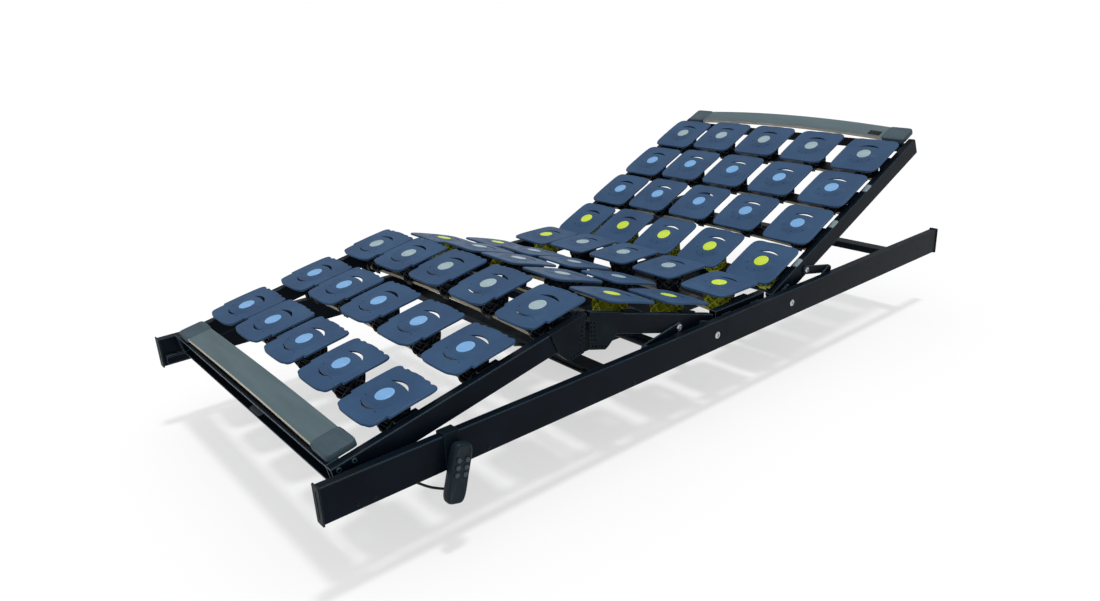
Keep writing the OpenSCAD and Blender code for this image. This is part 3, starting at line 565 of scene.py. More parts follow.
@dataclass(frozen=True)
class Section:
    """A tilting section: the turns that take it from flat to rest, and its bodies."""

    name: str
    body: str
    modules: str
    rows: tuple[float, ...]
    turns: tuple[tuple[float, float, float], ...] = ()

    @property
    def tilt(self) -> float:
        """Lean about X at rest, in degrees."""
        return sum(turn[2] for turn in self.turns)

    @property
    def sink_joint(self) -> str:
        """Name of the joint on which the section's plates sink."""
        return f"{self.name}_modules_sink"

    def place(self, points: np.ndarray) -> np.ndarray:
        """Turn flat places to rest, one turn about X after another.

        Args:
            points: Places, n by three, in mm.

        Returns:
            The turned places.
        """
        out = np.array(points, float)
        for y, z, degrees in self.turns:
            c, s = math.cos(math.radians(degrees)), math.sin(math.radians(degrees))
            dy, dz = out[:, 1] - y, out[:, 2] - z
            out = np.column_stack([out[:, 0], y + dy * c - dz * s, z + dy * s + dz * c])
        return out

    def normal(self) -> tuple[float, float, float]:
        """Direction that points up out of the section."""
        lean = math.radians(self.tilt)
        return (0.0, -math.sin(lean), math.cos(lean))


THIGH_TURN = (-17.0, 36.0, -16.4)
KNEE_TURN = (-413.6, 66.0, 27.63)
BACK_TURN = (271.0, 36.0, 24.5)
SEAT = Section("seat", "base", "seat_modules", (123.0,))
THIGH = Section("thigh", "thigh", "thigh_modules", (-82.0, -271.0), (THIGH_TURN,))
CALF = Section("calf", "calf", "calf_modules", (-467.6, -651.6, -835.6), (KNEE_TURN, THIGH_TURN))
BACK = Section("back", "back", "back_modules", (323.5, 490.5, 657.5, 824.5), (BACK_TURN,))
COLUMNS = (-338.0, -169.0, 0.0, 169.0, 338.0)
DECK_Z = 78.0
TUBE_IN, TUBE_OUT = 400.0, 420.0
SLAT_END = 392.0
SLAT_Z, SLAT_CAMBER, SLAT_T = 33.0, 15.0, 8.0
PLATE_TOP = 25.0


def slat_top(x: float) -> float:
    """Height of a cross slat's top at x, falling as the square of x."""
    return SLAT_Z + SLAT_CAMBER * (1 - (x / SLAT_END) ** 2)


def plate_top(x: float) -> float:
    """Height of the top of a plate in the column at x."""
    return DECK_Z + PLATE_TOP + slat_top(x) - slat_top(COLUMNS[-1])


class DiscColour(Enum):
    """Colour of a disc, which tells how firm its module is."""

    BLUE = 0
    GREY = 1
    LIME = 2


def add_piece(name: str, shell: Shell, section: Section | None, body: str,
              finishes: Sequence[Finish], replaced: Sequence[str] = ()) -> bpy.types.Object:
    """Make a piece of a shell, dress it, and let it ride on its body.

    Args:
        name: The piece's name.
        shell: Its faces, in flat places if it is on a section.
        section: The section that it is on, or None.
        body: The CAD body that it rides on.
        finishes: Its finishes, in the order of the faces' finish numbers.
        replaced: The CAD nodes that it stands for.

    Returns:
        The piece.
    """
    if section is not None:
        shell = shell.at(section.place(shell.verts))
    piece = linked(name, shell.mesh(name))
    for finish in finishes:
        piece.data.materials.append(finish.build())
    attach(piece, body)
    if replaced:
        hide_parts(*replaced)
    LOG.info("%s: %d faces on %s", name, len(piece.data.polygons), body)
    return piece


# ---------------------------------------------------------------- sub-assemblies


# Dips in the plates' edges: middle along X, half width and depth
CALF_HEAD_DIPS = ((-49, 7, 6.5), (49, 7, 6.5), (-26, 8, 2.5), (26, 8, 2.5))
CALF_FOOT_DIPS = ((-55, 9, 2.0), (55, 9, 2.0))
PLAIN_DIPS = ((-30, 13, 1.6), (30, 13, 1.6))
CALF_FOOT_BOW = 10.0
SIDE_FROM = 0.45  # sine of the angle from which a point of the outline is on the head side


def bells(x: np.ndarray, dips: Sequence[tuple[float, float, float]]) -> np.ndarray:
    """Sum of bell curves, each depth exp(-((x - middle) / width)^2)."""
    return sum(np.exp(-((x - middle) / width) ** 2) * depth for middle, width, depth in dips)


@dataclass
class PlateModules:
    """Plates with their discs, and the spring modules under them, of all sections."""

    plate_half: float = 76.0
    plate_half_x: float = 72.5
    plate_t: float = 5.0
    seat_gap: float = 0.6
    seat_depth: float = 2.2
    crown: float = 0.3
    disc_r: float = 19.2
    rib_from: float = 29.0
    rib_pitch: float = 5.2
    rib_count: int = 4
    rib_depth: float = 0.4
    spring_r: float = 34.0
    spring_h: float = 61.1
    sink: float = 12.0
    claw_half_w: float = 11.0
    claw_half_t: float = 2.2
    claw_y: float = 21.8
    steps: int = 104
    plain: Shell = field(init=False)
    wavy: Shell = field(init=False)
    disc: Shell = field(init=False)
    spring: Shell = field(init=False)

    def __post_init__(self) -> None:
        """Build one of each kind of piece; the sections get copies."""
        self.plain = self.plate(False)
        self.wavy = self.plate(True)
        self.disc = self.disc_shell()
        self.spring = self.spring_shell()

    def outline(self, wavy: bool) -> np.ndarray:
        """Radius of the plate's edge: a rounded square, |x / half_x|^n + |y / half|^n = 1.

        The head side has two or four dips, each a bell curve. A calf plate's foot side bows:
        it falls back by the cube of the distance from the middle, with a notch near each end.

        Args:
            wavy: True for a calf plate.

        Returns:
            The radius at each angle.
        """
        a = around(self.steps)
        c, s = np.cos(a), np.sin(a)
        n = np.full_like(a, 10.0) if wavy else np.where(s < 0, 6.6, 7.6)
        across, along = np.abs(c) / self.plate_half_x, np.abs(s) / self.plate_half
        radius = (across ** n + along ** n) ** (-1 / n)
        x = radius * c
        head = np.where(s > SIDE_FROM, bells(x, CALF_HEAD_DIPS if wavy else PLAIN_DIPS), 0)
        if not wavy:
            return radius - head
        bow = CALF_FOOT_BOW * (np.abs(x) / self.plate_half) ** 3
        return radius - head - np.where(s < -SIDE_FROM, bow + bells(x, CALF_FOOT_DIPS), 0)

    def plate(self, wavy: bool) -> Shell:
        """One plate: a profile carried round its middle, from circles out to its outline.

        Each ring's radius is a blend of a circle and of the outline, and its height falls with
        the square of the distance from the crease across the plate.

        Args:
            wavy: True for a calf plate.

        Returns:
            The plate with its slots cut, its top at height zero.
        """
        t = self.plate_t
        rib_r = self.rib_from + np.arange(self.rib_count) * self.rib_pitch
        steps = ((-0.8, 0.0), (-0.3, -1.0), (0.3, -1.0), (0.8, 0.0))
        ribs = [(r + off, 0.0, 0.0, depth * self.rib_depth) for r in rib_r for off, depth in steps]
        rib_to = self.rib_from + self.rib_count * self.rib_pitch
        # Each ring: circle radius, share of the outline, offset from the outline, height
        seat_r, skin, boss = self.disc_r + self.seat_gap, -3.4, -t - 7
        seat = [(0.0, 0, 0, -self.seat_depth), (seat_r, 0, 0, -self.seat_depth),
                (seat_r, 0, 0, -0.2), (self.disc_r + 1.2, 0, 0, self.crown),
                (self.disc_r + 2.2, 0, 0, self.crown)]
        spread = [(rib_to + 2, 0.0, 0, 0.0), (rib_to + 3, 0.3, 0, 0.0),
                  (rib_to + 3, 0.6, 0, 0.0), (rib_to + 3, 0.85, 0, 0.0)]
        rim = [(0, 1, -5.5, 0.0), (0, 1, -4.6, 0.35), (0, 1, -2.4, self.crown),
               (0, 1, -1.0, -0.1), (0, 1, -0.25, -0.8), (0, 1, 0, -1.8), (0, 1, 0, -t + 0.8),
               (0, 1, -0.8, -t), (0, 1, -3.0, -t)]
        below = [(0, 1, -3.4, skin), (30, 0.5, 0, skin), (28, 0, 0, skin), (25, 0, 0, -3.8),
                 (24, 0, 0, boss), (0.0, 0, 0, boss)]
        ring = np.array(seat + ribs + spread + rim + below, float)
        edge = self.outline(wavy)[None, :]
        circle, share, offset, height = (ring[:, k][:, None] for k in range(4))
        radius = circle * (1 - share) + share * edge + offset
        turn = around(self.steps)
        y = radius * np.sin(turn)
        x = radius * np.cos(turn)
        # The grooves run round the foot side and fade out towards the head side
        height = np.repeat(height, self.steps, axis=1)
        fade = np.clip(0.6 - 1.6 * np.sin(turn), 0, 1)
        height[len(seat):len(seat) + len(ribs)] *= fade
        fall = 0.016 * np.maximum(np.abs(y) - 20, 0) + 0.00022 * x ** 2 + 0.0001 * y ** 2
        shell = turned_profile(radius, height - fall, self.steps)
        return shell.outward(self.plate_cutters(wavy))

    def plate_cutters(self, wavy: bool) -> Shell:
        """Solids of the slots: a crescent, then on a calf plate an arc, on the others dots.

        Args:
            wavy: True for a calf plate.

        Returns:
            The solids, standing through the plate.
        """
        low, high = -20.0, 8.0
        dot = np.column_stack([np.cos(around(10)), np.sin(around(10))])
        outlines = [crescent(33, 31, 4.5, 12.5)]
        if wavy:
            outlines += [crescent(27, -36, -9.0, -4.2), 1.5 * dot + (34, -40),
                         1.6 * dot + (-33, -22)]
        else:
            outlines += [1.7 * dot + p for p in ((-33, -14), (-20, -34), (4, -37), (31, -24))]
        return Shell.joined(prism(o, low, high) for o in outlines)

    def disc_shell(self) -> Shell:
        """Round disc: flat top with a soft rim and a shallow ring groove, closed below."""
        r = self.disc_r
        rings = np.array([(0, 0.75), (r - 7.5, 0.8), (r - 7.0, 0.45), (r - 6.2, 0.45),
                          (r - 5.7, 0.85), (r - 1.5, 1.0), (r - 0.5, 0.75), (r, 0.2), (r, -2.0),
                          (0, -2.0)])
        return turned_profile(rings[:, 0], rings[:, 1], 48).outward()

    def waist(self, z: np.ndarray) -> np.ndarray:
        """Mid radius of the spring's wall: a barrel, widest at two thirds of its height.

        The radius is foot + bulge sin(pi (z / h)^1.6).
        """
        rise = np.clip(z / self.spring_h, 0, 1)
        return self.spring_r - 7.0 + 7.5 * np.sin(np.pi * rise ** 1.6) + 2.0 * rise

    def band(self, z0: float, swing: float, phase: float, wall: float, tall: float,
             cells: int = 8, per_cell: int = 8) -> Shell:
        """Closed band round Z whose height swings: z = z0 + swing cos(cells a + phase).

        Args:
            z0: Mid height.
            swing: How far it swings up and down.
            phase: Where on its wave the band starts, in radians.
            wall: Radial thickness.
            tall: Height of its section.
            cells: Waves round the band.
            per_cell: Steps to a wave.

        Returns:
            The closed ring.
        """
        a = around(cells * per_cell)
        z = z0 + swing * np.cos(cells * a + phase)
        corner = np.array([(0.5, 0.34), (0.38, 0.5), (-0.38, 0.5), (-0.5, 0.34), (-0.5, -0.34),
                           (-0.38, -0.5), (0.38, -0.5), (0.5, -0.34)])
        radius = self.waist(z)[None, :] + wall * corner[:, :1]
        height = z[None, :] + tall * corner[:, 1:]
        grid = np.stack([radius * np.cos(a), radius * np.sin(a), height], axis=-1)
        return Shell.of_grid(grid, wrap_rows=True)

    def spring_shell(self) -> Shell:
        """Spring module: crossing wavy bands make a honeycomb between a foot and a head ring."""
        h, swing = self.spring_h - self.plate_t, 6.0
        levels = np.linspace(9.0, h - 8.0, 4)
        bands = [self.band(z, swing, math.pi * (k % 2), 7.5, 3.0) for k, z in enumerate(levels)]
        rings = [self.band(z, 0.0, 0.0, 7.6, tall, 6, 6)
                 for z, tall in ((1.8, 3.6), (h - 1.9, 3.8))]
        z = np.array([0.4, 0.4, h * 0.25, h * 0.5, h * 0.75, h - 0.2, h - 0.2])
        core = turned_profile(np.array([0, *(self.waist(z[1:-1]) - 5.2), 0]), z, 36)
        clip = self.clip_shell()
        return Shell.joined([s.outward() for s in bands + rings + [core]] + clip)

    def clip_shell(self) -> list[Shell]:
        """Two claws that hold the spring's foot on its slat, one on each side of the slat."""
        claw = round_square(16, 0.4) * (self.claw_half_w, self.claw_half_t)
        return [prism(claw + (0, side * self.claw_y), -SLAT_T - 3.0, 2.5).outward()
                for side in (-1, 1)]

    def dress(self, section: Section, wavy: bool, colours: Sequence[Sequence[DiscColour]],
              soft: Sequence[tuple[int, int]], firm_node: str | None,
              soft_node: str | None) -> None:
        """Lay out one section's modules.

        Args:
            section: The section.
            wavy: True if its plates have the calf outline.
            colours: For each row, the colour of the disc in each column.
            soft: Row and column of each module with the lime spring.
            firm_node: CAD node of its dark springs, or None if the other node holds all.
            soft_node: CAD node of its lime springs, or None.
        """
        places = [(i, j, x, y) for i, y in enumerate(section.rows) for j, x in enumerate(COLUMNS)]
        plate = self.wavy if wavy else self.plain
        add_piece(f"{section.name}_plate_set",
                  Shell.joined(plate.moved((x, y, plate_top(x))) for _, _, x, y in places),
                  section, section.modules, [PLATE_PP],
                  [f"{section.name}_plates"])
        add_piece(f"{section.name}_disc_set",
                  Shell.joined(self.disc.moved((x, y, plate_top(x)), colours[i][j].value)
                               for i, j, x, y in places),
                  section, section.modules, [BLUE_DISC, GREY_DISC, LIME_DISC],
                  [f"{section.name}_discs"])
        firm = [p for p in places if p[:2] not in soft]
        lime = [p for p in places if p[:2] in soft]
        groups = ([(soft_node, "elastomer_lime", firm + lime)] if firm_node is None else
                  [(firm_node, "elastomer_dark", firm), (soft_node, "elastomer_lime", lime)])
        for node, slot, chosen in groups:
            if node is None:
                continue
            piece = add_piece(f"{node}_set",
                              Shell.joined(self.spring.moved((x, y, slat_top(x)),
                                                             int((i, j) in soft))
                                           for i, j, x, y in chosen),
                              section, section.body, [DARK_TPE, LIME_TPE], [node])
            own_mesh(piece)

    def build(self) -> None:
        """Dress all four sections."""
        blue, grey, lime = DiscColour.BLUE, DiscColour.GREY, DiscColour.LIME
        edge_lime = [lime, grey, grey, grey, lime]
        ends = [(i, j) for i in (0, 1) for j in (0, 4)]
        self.dress(CALF, True, [[grey] * 5, [blue] * 5, [blue] * 5], [], "calf_springs", None)
        self.dress(THIGH, False, [edge_lime, edge_lime], ends,
                   "thigh_springs_firm", "thigh_springs_soft")
        self.dress(SEAT, False, [edge_lime], [(0, 0), (0, 4)], None, "seat_springs")
        self.dress(BACK, False, [[lime] * 5, [blue] * 5, [blue] * 5, [grey] * 5],
                   [(0, j) for j in range(5)], "back_springs_firm", "back_springs_soft")


@dataclass
class EndSlats:
    """The wide slats across the foot and the head end, with their ribbed caps."""

    width: float = 56.0
    thick: float = 10.0
    lift: float = 2.0
    half_len: float = 345.0
    cap_in: float = 330.0
    cap_out: float = 399.0
    cap_h: float = 14.0
    foot_y: float = -961.6
    head_y: float = 954.0
    rim_from: float = 0.86
    rim_drop: float = 4.0
    ribs_in: float = 16.0
    ribs_out: float = 38.0
    ribs_half_y: float = 18.0
    rib_pitch: float = 6.0
    groove_x: float = 21.0
    sink_in_x: float = 24.0
    foot_bow: float = 6.0
    head_bow: float = 14.0

    def slat(self, y: float, bow: float) -> Shell:
        """Bowed slat: z rises by bow (1 - (x / half)^2) along a section with soft edges."""
        x = np.linspace(-self.half_len, self.half_len, 61)
        shell = swept_bar(x, bow * (1 - (x / self.half_len) ** 2), self.width / 2, self.thick, 1.6)
        return shell.outward().moved((0, y, DECK_Z + self.lift))

    def cap(self, y: float, bow: float) -> list[Shell]:
        """Ribbed caps: a grid bent into a rounded box, whose top carries ribs along Y.

        A grid point (s, t) of the square goes to the rounded box by (s, t) over its power norm,
        and the top falls away as a quarter circle near the edge.

        Args:
            y: Place of the slat along the bed.
            bow: The slat's bow, which lifts the cap's inner end.

        Returns:
            The right cap and the left cap.
        """
        s = np.linspace(-1, 1, 97)
        t = np.concatenate([[-1, -0.985, -0.96, -0.92, -0.86], np.linspace(-0.8, 0.8, 19),
                            [0.86, 0.92, 0.96, 0.985, 1]])
        grid_s, grid_t = np.meshgrid(s, t)
        most = np.maximum(np.abs(grid_s), np.abs(grid_t))
        power = (np.abs(grid_s) ** 7 + np.abs(grid_t) ** 7) ** (1 / 7)
        scale = np.where(power > 0, most / np.where(power > 0, power, 1), 1)
        half_x, half_y = (self.cap_out - self.cap_in) / 2, self.width / 2 + 3
        px, py = grid_s * scale * half_x, grid_t * scale * half_y
        near = np.clip((most - self.rim_from) / (1 - self.rim_from), 0, 1)
        top = self.cap_h - self.rim_drop * (1 - np.sqrt(1 - near ** 2))
        ribbed = (np.clip((px + self.ribs_in) / 1.5, 0, 1)
                  * np.clip((self.ribs_out - px) / 1.5, 0, 1)
                  * np.clip((self.ribs_half_y - np.abs(py)) / 1.5, 0, 1))
        top -= ribbed * (0.5 + 0.5 * np.cos(2 * math.pi * px / self.rib_pitch))
        top -= 0.9 * np.exp(-((px + self.groove_x) / 1.6) ** 2)
        inner = 1 - np.clip((px + half_x) / self.sink_in_x, 0, 1)
        top += bow * (1 - (self.cap_in / self.half_len) ** 2) * inner
        upper = np.stack([px + half_x + self.cap_in, py + y, top + DECK_Z], axis=-1)
        lower = upper.copy()
        lower[..., 2] = DECK_Z + np.where(px + half_x < TUBE_IN - self.cap_in - 12, 1.8, 0.1)
        ring = [np.concatenate([g[0], g[1:-1, -1], g[-1, ::-1], g[-2:0:-1, 0]])
                for g in (upper, lower)]
        shells = [Shell.of_grid(upper, wrap_columns=False),
                  Shell.of_grid(lower, wrap_columns=False), Shell.of_grid(np.stack(ring))]
        right = Shell.joined(shells).outward()
        return [right, right.mirrored()]

    def build(self) -> None:
        """Make both slats, both pairs of caps and a strip of painted shade for the head slat's
        handle recess.
        """
        ends = ((CALF, "foot", self.foot_y, self.foot_bow),
                (BACK, "head", self.head_y, self.head_bow))
        for section, name, y, bow in ends:
            film = FilmFacedPlywood(f"film_faced_{name}_end_slat", "#3b5056", "#465b62",
                                    (0.38, 0.5), grain_mm=1.0, grain_depth_mm=0.03, blotch_mm=25.0,
                                    stretch=(0.15, 1.0, 1.0), tilt=section.tilt, edge="#cbc5b5",
                                    edge_dark="#a79f8c")
            add_piece(f"{name}_end_slat_bowed", self.slat(y, bow), section, section.body,
                      [film], [f"{name}_end_slat"])
            add_piece(f"{name}_end_slat_ribbed_caps", Shell.joined(self.cap(y, bow)), section,
                      section.body, [SLATE_PP], [f"{name}_end_slat_caps"])
        # Painted shade: a thin near-black strip on the head slat's top stands for its handle
        # recess
        x = np.linspace(285, 322, 13)
        bow = self.head_bow * (1 - (x / self.half_len) ** 2)
        shade_strip = swept_bar(x, bow, 10.0, 1.0, 0.45).outward()
        add_piece("head_slat_painted_recess_shade",
                  shade_strip.moved((0, self.head_y - 11, DECK_Z + self.lift + self.thick - 0.6)),
                  BACK, "back", [RECESS_SHADE])


@dataclass
class SmallTrim:
    """Small pieces on the sections: the blank label and the back tubes' tabs."""

    tab_places: tuple[float, ...] = (98.0, 267.0, 433.0)
    label_at: tuple[float, float, float] = (35.0, -986.0, 36.05)

    def pad(self, half_x: float, half_y: float, thick: float) -> Shell:
        """Thin pad with a rounded square outline and a soft upper edge."""
        outline = round_square(40, 0.35) * (half_x, half_y)
        rows = [(0.0, 0.0), (1.0, 0.0), (1.0, thick * 0.6), (0.97, thick * 0.9), (0.92, thick),
                (0.0, thick)]
        grid = np.stack([np.column_stack([outline * k, np.full(len(outline), z)])
                         for k, z in rows])
        return Shell.of_grid(grid).outward()

    def build(self) -> None:
        """Make the label on the foot channel's lower flange and the tabs on the back tubes."""
        label = self.pad(27, 9, 0.5).moved(self.label_at)
        add_piece("foot_channel_blank_label", label, CALF, "calf", [LABEL_FILM])
        tab = self.pad(7.5, 15, 3.0)
        tabs = [tab.moved((side * (TUBE_IN + 12), BACK_TURN[0] + y, DECK_Z + 0.05))
                for y in self.tab_places for side in (-1, 1)]
        add_piece("back_tube_tabs", Shell.joined(tabs), BACK, "back", [PALE_PP])


@dataclass
class Fasteners:
    """Bolts, pins and screws: a shank, a domed head with a hex socket, and a collar or nut."""

    pivot_r: float = 6.0
    pin_r: float = 5.0
    rail_in: float = 430.0
    rail_out: float = 450.0
    thigh_link: tuple[float, float] = (-128.0, 48.0)
    back_link: tuple[float, float] = (382.0, 48.0)
    screws: tuple[tuple[float, float], ...] = ((-938, 13), (-906, 11), (-669, 10), (-288, 8))

    def bolt(self, tip: float, head_at: float, shank_r: float, head_r: float, rise: float,
             finish: int = 0) -> Shell:
        """Bolt along X: its dome is rise sqrt(1 - (r / head)^2), its socket a hexagon.

        Args:
            tip: X of the shank's end.
            head_at: X of the head's seat.
            shank_r: Radius of the shank.
            head_r: Radius of the head.
            rise: Height of the dome.
            finish: Its finish number.

        Returns:
            The bolt, with its axis at the origin.
        """
        a = around(36)
        hexagon = 0.42 * head_r / np.cos((a + math.pi / 6) % (math.pi / 3) - math.pi / 6)
        rho = np.linspace(0.62, 0.995, 7) * head_r
        full = [np.zeros(36), hexagon, hexagon, hexagon + 0.35,
                *(np.full(36, r) for r in rho), *(np.full(36, r) for r in
                                                  (head_r, head_r * 0.97, shank_r, shank_r, 0))]
        crown = rise * np.sqrt(1 - (rho / head_r) ** 2) * 0.75 + rise * 0.25
        floor = rise * 0.15
        x = np.array([floor, floor, rise * 0.9, rise * 0.97, *crown, rise * 0.12, 0.0, 0.0,
                      tip - head_at, tip - head_at])
        shell = turned_along_x(np.stack(full), x, 36).moved((head_at, 0, 0))
        return shell.outward().moved((0, 0, 0), finish)

    def collar(self, x0: float, x1: float, r: float) -> Shell:
        """Collar along X with chamfered edges."""
        edge = 0.5
        x = np.array([x0, x0, x0 + edge, x1 - edge, x1, x1])
        radii = np.array([0.0, r - edge, r, r, r - edge, 0.0])
        return turned_along_x(radii, x, 32).outward()

    def pair(self, parts: Sequence[Shell], y: float, z: float) -> list[Shell]:
        """Put parts at y and z, on both sides of the bed."""
        right = [p.moved((0, y, z)) for p in parts]
        return right + [p.mirrored() for p in right]

    def build(self) -> None:
        """Make the fasteners of the rails, of the thigh section and of the back section."""
        # Each bolt: tip, head's seat, shank and head radius, height of the dome
        pivot = [self.bolt(TUBE_OUT + 0.3, self.rail_out, self.pivot_r, self.pivot_r + 2.5, 2.4),
                 self.collar(TUBE_OUT + 5.3, self.rail_in, self.pivot_r + 3.5)]
        screw = [self.bolt(self.rail_out - 1.0, self.rail_out, 2.2, 3.6, 1.6, 1)]
        rail = [s for y, z, _ in (THIGH_TURN, BACK_TURN) for s in self.pair(pivot, y, z)]
        rail += [s for y, z in self.screws for s in self.pair(screw, y, z)]
        add_piece("rail_bolt_set", Shell.joined(rail), None, "base",
                  [ZINC, BLACK_ZINC], ["rail_bolts"])
        link = [self.bolt(TUBE_OUT, TUBE_OUT + 4.9, self.pin_r, self.pin_r + 3, 3.0)]
        knee = [self.bolt(TUBE_IN - 9, TUBE_OUT + 3.4, self.pin_r, self.pin_r + 0.4, 0.6, 1),
                self.collar(TUBE_IN - 12, TUBE_IN - 9, self.pin_r + 3)]
        thigh = self.pair(knee, *KNEE_TURN[:2]) + self.pair(link, *self.thigh_link)
        add_piece("thigh_pin_set", Shell.joined(thigh), THIGH, "thigh",
                  [ZINC, BLACK_ZINC], ["thigh_pins"])
        add_piece("back_pin_set", Shell.joined(self.pair(link, *self.back_link)), BACK, "back",
                  [ZINC], ["back_pins"])


@dataclass
class Handset:
    """The corded handset: its body, the strain relief of its cord and its lug; the cord itself is
    made by HandsetCord.
    """

    half_w: float = 21.0
    half_l: float = 58.0
    corner_power: float = 0.42
    waist: float = 0.05
    centre: tuple[float, float, float] = (458.0, -752.0, -0.5)
    lean: float = 16.0
    cord_z: float = -40.0
    lug_z: float = 22.0

    def body(self) -> Shell:
        """Body: rounded-box rings from back to front, with a waist and a dished key field.

        Each ring is a round square stretched to the handset's outline and set in by an amount;
        the keys' field is a ring set in and pushed back. The first and last rings are points.
        """
        u, v = round_square(88, self.corner_power).T
        depth = ((0.4, -3.0), (1.6, -1.0), (4.0, -0.2), (9.6, 0.0), (9.9, -0.5), (10.3, -0.5),
                 (10.6, 0.0), (15.0, -0.2), (18.0, -1.2), (19.3, -2.8), (19.8, -4.6),
                 (19.1, -5.6))
        narrow = 1.0 - self.waist * np.cos(math.pi * v / 2) ** 2
        rows = [np.column_stack([np.full(len(u), x), (self.half_w + inset) * u * narrow,
                                 (self.half_l + inset) * v]) for x, inset in depth]
        back, front = (np.broadcast_to((x, 0.0, 0.0), rows[0].shape) for x in (0.0, 19.1))
        return self.placed(Shell.of_grid(np.stack([back, *rows, front])).outward())

    def placed(self, shell: Shell) -> Shell:
        """Lean a shell with the handset and put it on the hook."""
        lean = math.radians(-self.lean)
        c, s = math.cos(lean), math.sin(lean)
        x, y, z = shell.verts.T
        return shell.at(np.column_stack([x, y * c - z * s, y * s + z * c]) + self.centre)

    def build(self) -> None:
        """Make the handset's body and the strain relief of its cord."""
        relief_x = np.array([-4.0, -4.0, -3.0, -2.6, -2.2, -1.2, -0.8, 0.5, 0.5])
        relief_r = np.array([0.0, 3.3, 3.6, 3.1, 3.9, 4.2, 3.8, 4.8, 0.0])
        relief = turned_along_x(relief_r, relief_x, 24).moved((0, 0, self.cord_z)).outward()
        half_t = 2.3
        lug = swept_bar(np.linspace(-9, 9, 7), np.zeros(7), half_t, 24.0, 1.0)
        lug = lug.at(lug.verts[:, [1, 0, 2]]).moved((-half_t, 0, self.lug_z)).outward()
        shell = Shell.joined([self.body(), self.placed(relief), self.placed(lug)])
        add_piece("handset_body", shell, None, "handset", [HANDSET_ABS],
                  ["handset_shell"])


# Route of the handset's cord, from the handset's back to the gland on the drive
CORD_ROUTE = (
    (453.7, -763, -41.5), (447, -763, -41.5), (440, -766, -41.5), (434, -774, -39.5),
    (430, -786, -34), (428, -799, -25), (427, -812, -14), (426.5, -824, -3), (426.5, -836, 9),
    (426.5, -842, 22), (426.5, -837, 34), (426.5, -826, 38), (426.5, -814, 34), (426.5, -802, 23),
    (426.5, -788, 15), (426.5, -770, 12), (426.5, -700, 12), (426.5, -620, 12), (426.5, -540, 12),
    (426.5, -460, 12), (427, -400, 8), (427.2, -362, 5), (427.2, -344, 4), (423, -333.5, 4),
    (411, -328.5, 5), (390, -328, 6), (350, -328, 6), (250, -328, 6), (150, -328, 6),
    (106, -328.5, 5), (88, -329.5, 0), (75, -325, -5), (66, -312, -8), (58, -290, -11),
    (50, -260, -15), (43, -225, -20), (40, -200, -22), (40, -184, -22))


@dataclass
class HandsetCord:
    """The handset's cord: a flexible lead clipped along the rail and the knee cross tube."""

    diameter: float = 5.0
    per_span: int = 8

    def path(self) -> np.ndarray:
        """Smooth path through the route's points, by the Catmull-Rom rule on uneven spans."""
        points = np.array(CORD_ROUTE, float)
        ends = np.vstack([2 * points[0] - points[1], points, 2 * points[-1] - points[-2]])
        p0, p1, p2, p3 = ends[:-3], ends[1:-2], ends[2:-1], ends[3:]
        knot = [np.sqrt(np.linalg.norm(b - a, axis=1)) for a, b in ((p0, p1), (p1, p2), (p2, p3))]
        d0, d1, d2 = (k[:, None] for k in knot)
        m1 = (p1 - p0) / d0 - (p2 - p0) / (d0 + d1) + (p2 - p1) / d1
        m2 = (p2 - p1) / d1 - (p3 - p1) / (d1 + d2) + (p3 - p2) / d2
        m1, m2 = m1 * d1, m2 * d1
        t = (np.arange(self.per_span) / self.per_span)[None, :, None]
        h = (2 * t ** 3 - 3 * t ** 2 + 1, t ** 3 - 2 * t ** 2 + t, 3 * t ** 2 - 2 * t ** 3,
             t ** 3 - t ** 2)
        curve = (h[0] * p1[:, None] + h[1] * m1[:, None] + h[2] * p2[:, None] + h[3] * m2[:, None])
        return np.vstack([curve.reshape(-1, 3), points[-1]])

    def build(self) -> None:
        path = self.path() * MM
        curve = bpy.data.curves.new("handset_lead", "CURVE")
        curve.dimensions = "3D"
        curve.bevel_depth = self.diameter / 2 * MM
        curve.bevel_resolution = 4
        curve.use_fill_caps = True
        line = curve.splines.new("POLY")
        line.points.add(len(path) - 1)
        line.points.foreach_set("co", np.column_stack([path, np.ones(len(path))]).reshape(-1))
        piece = linked("handset_lead", curve)
        curve.materials.append(PVC_CORD.build())
        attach(piece, "base")
        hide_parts("handset_cord")


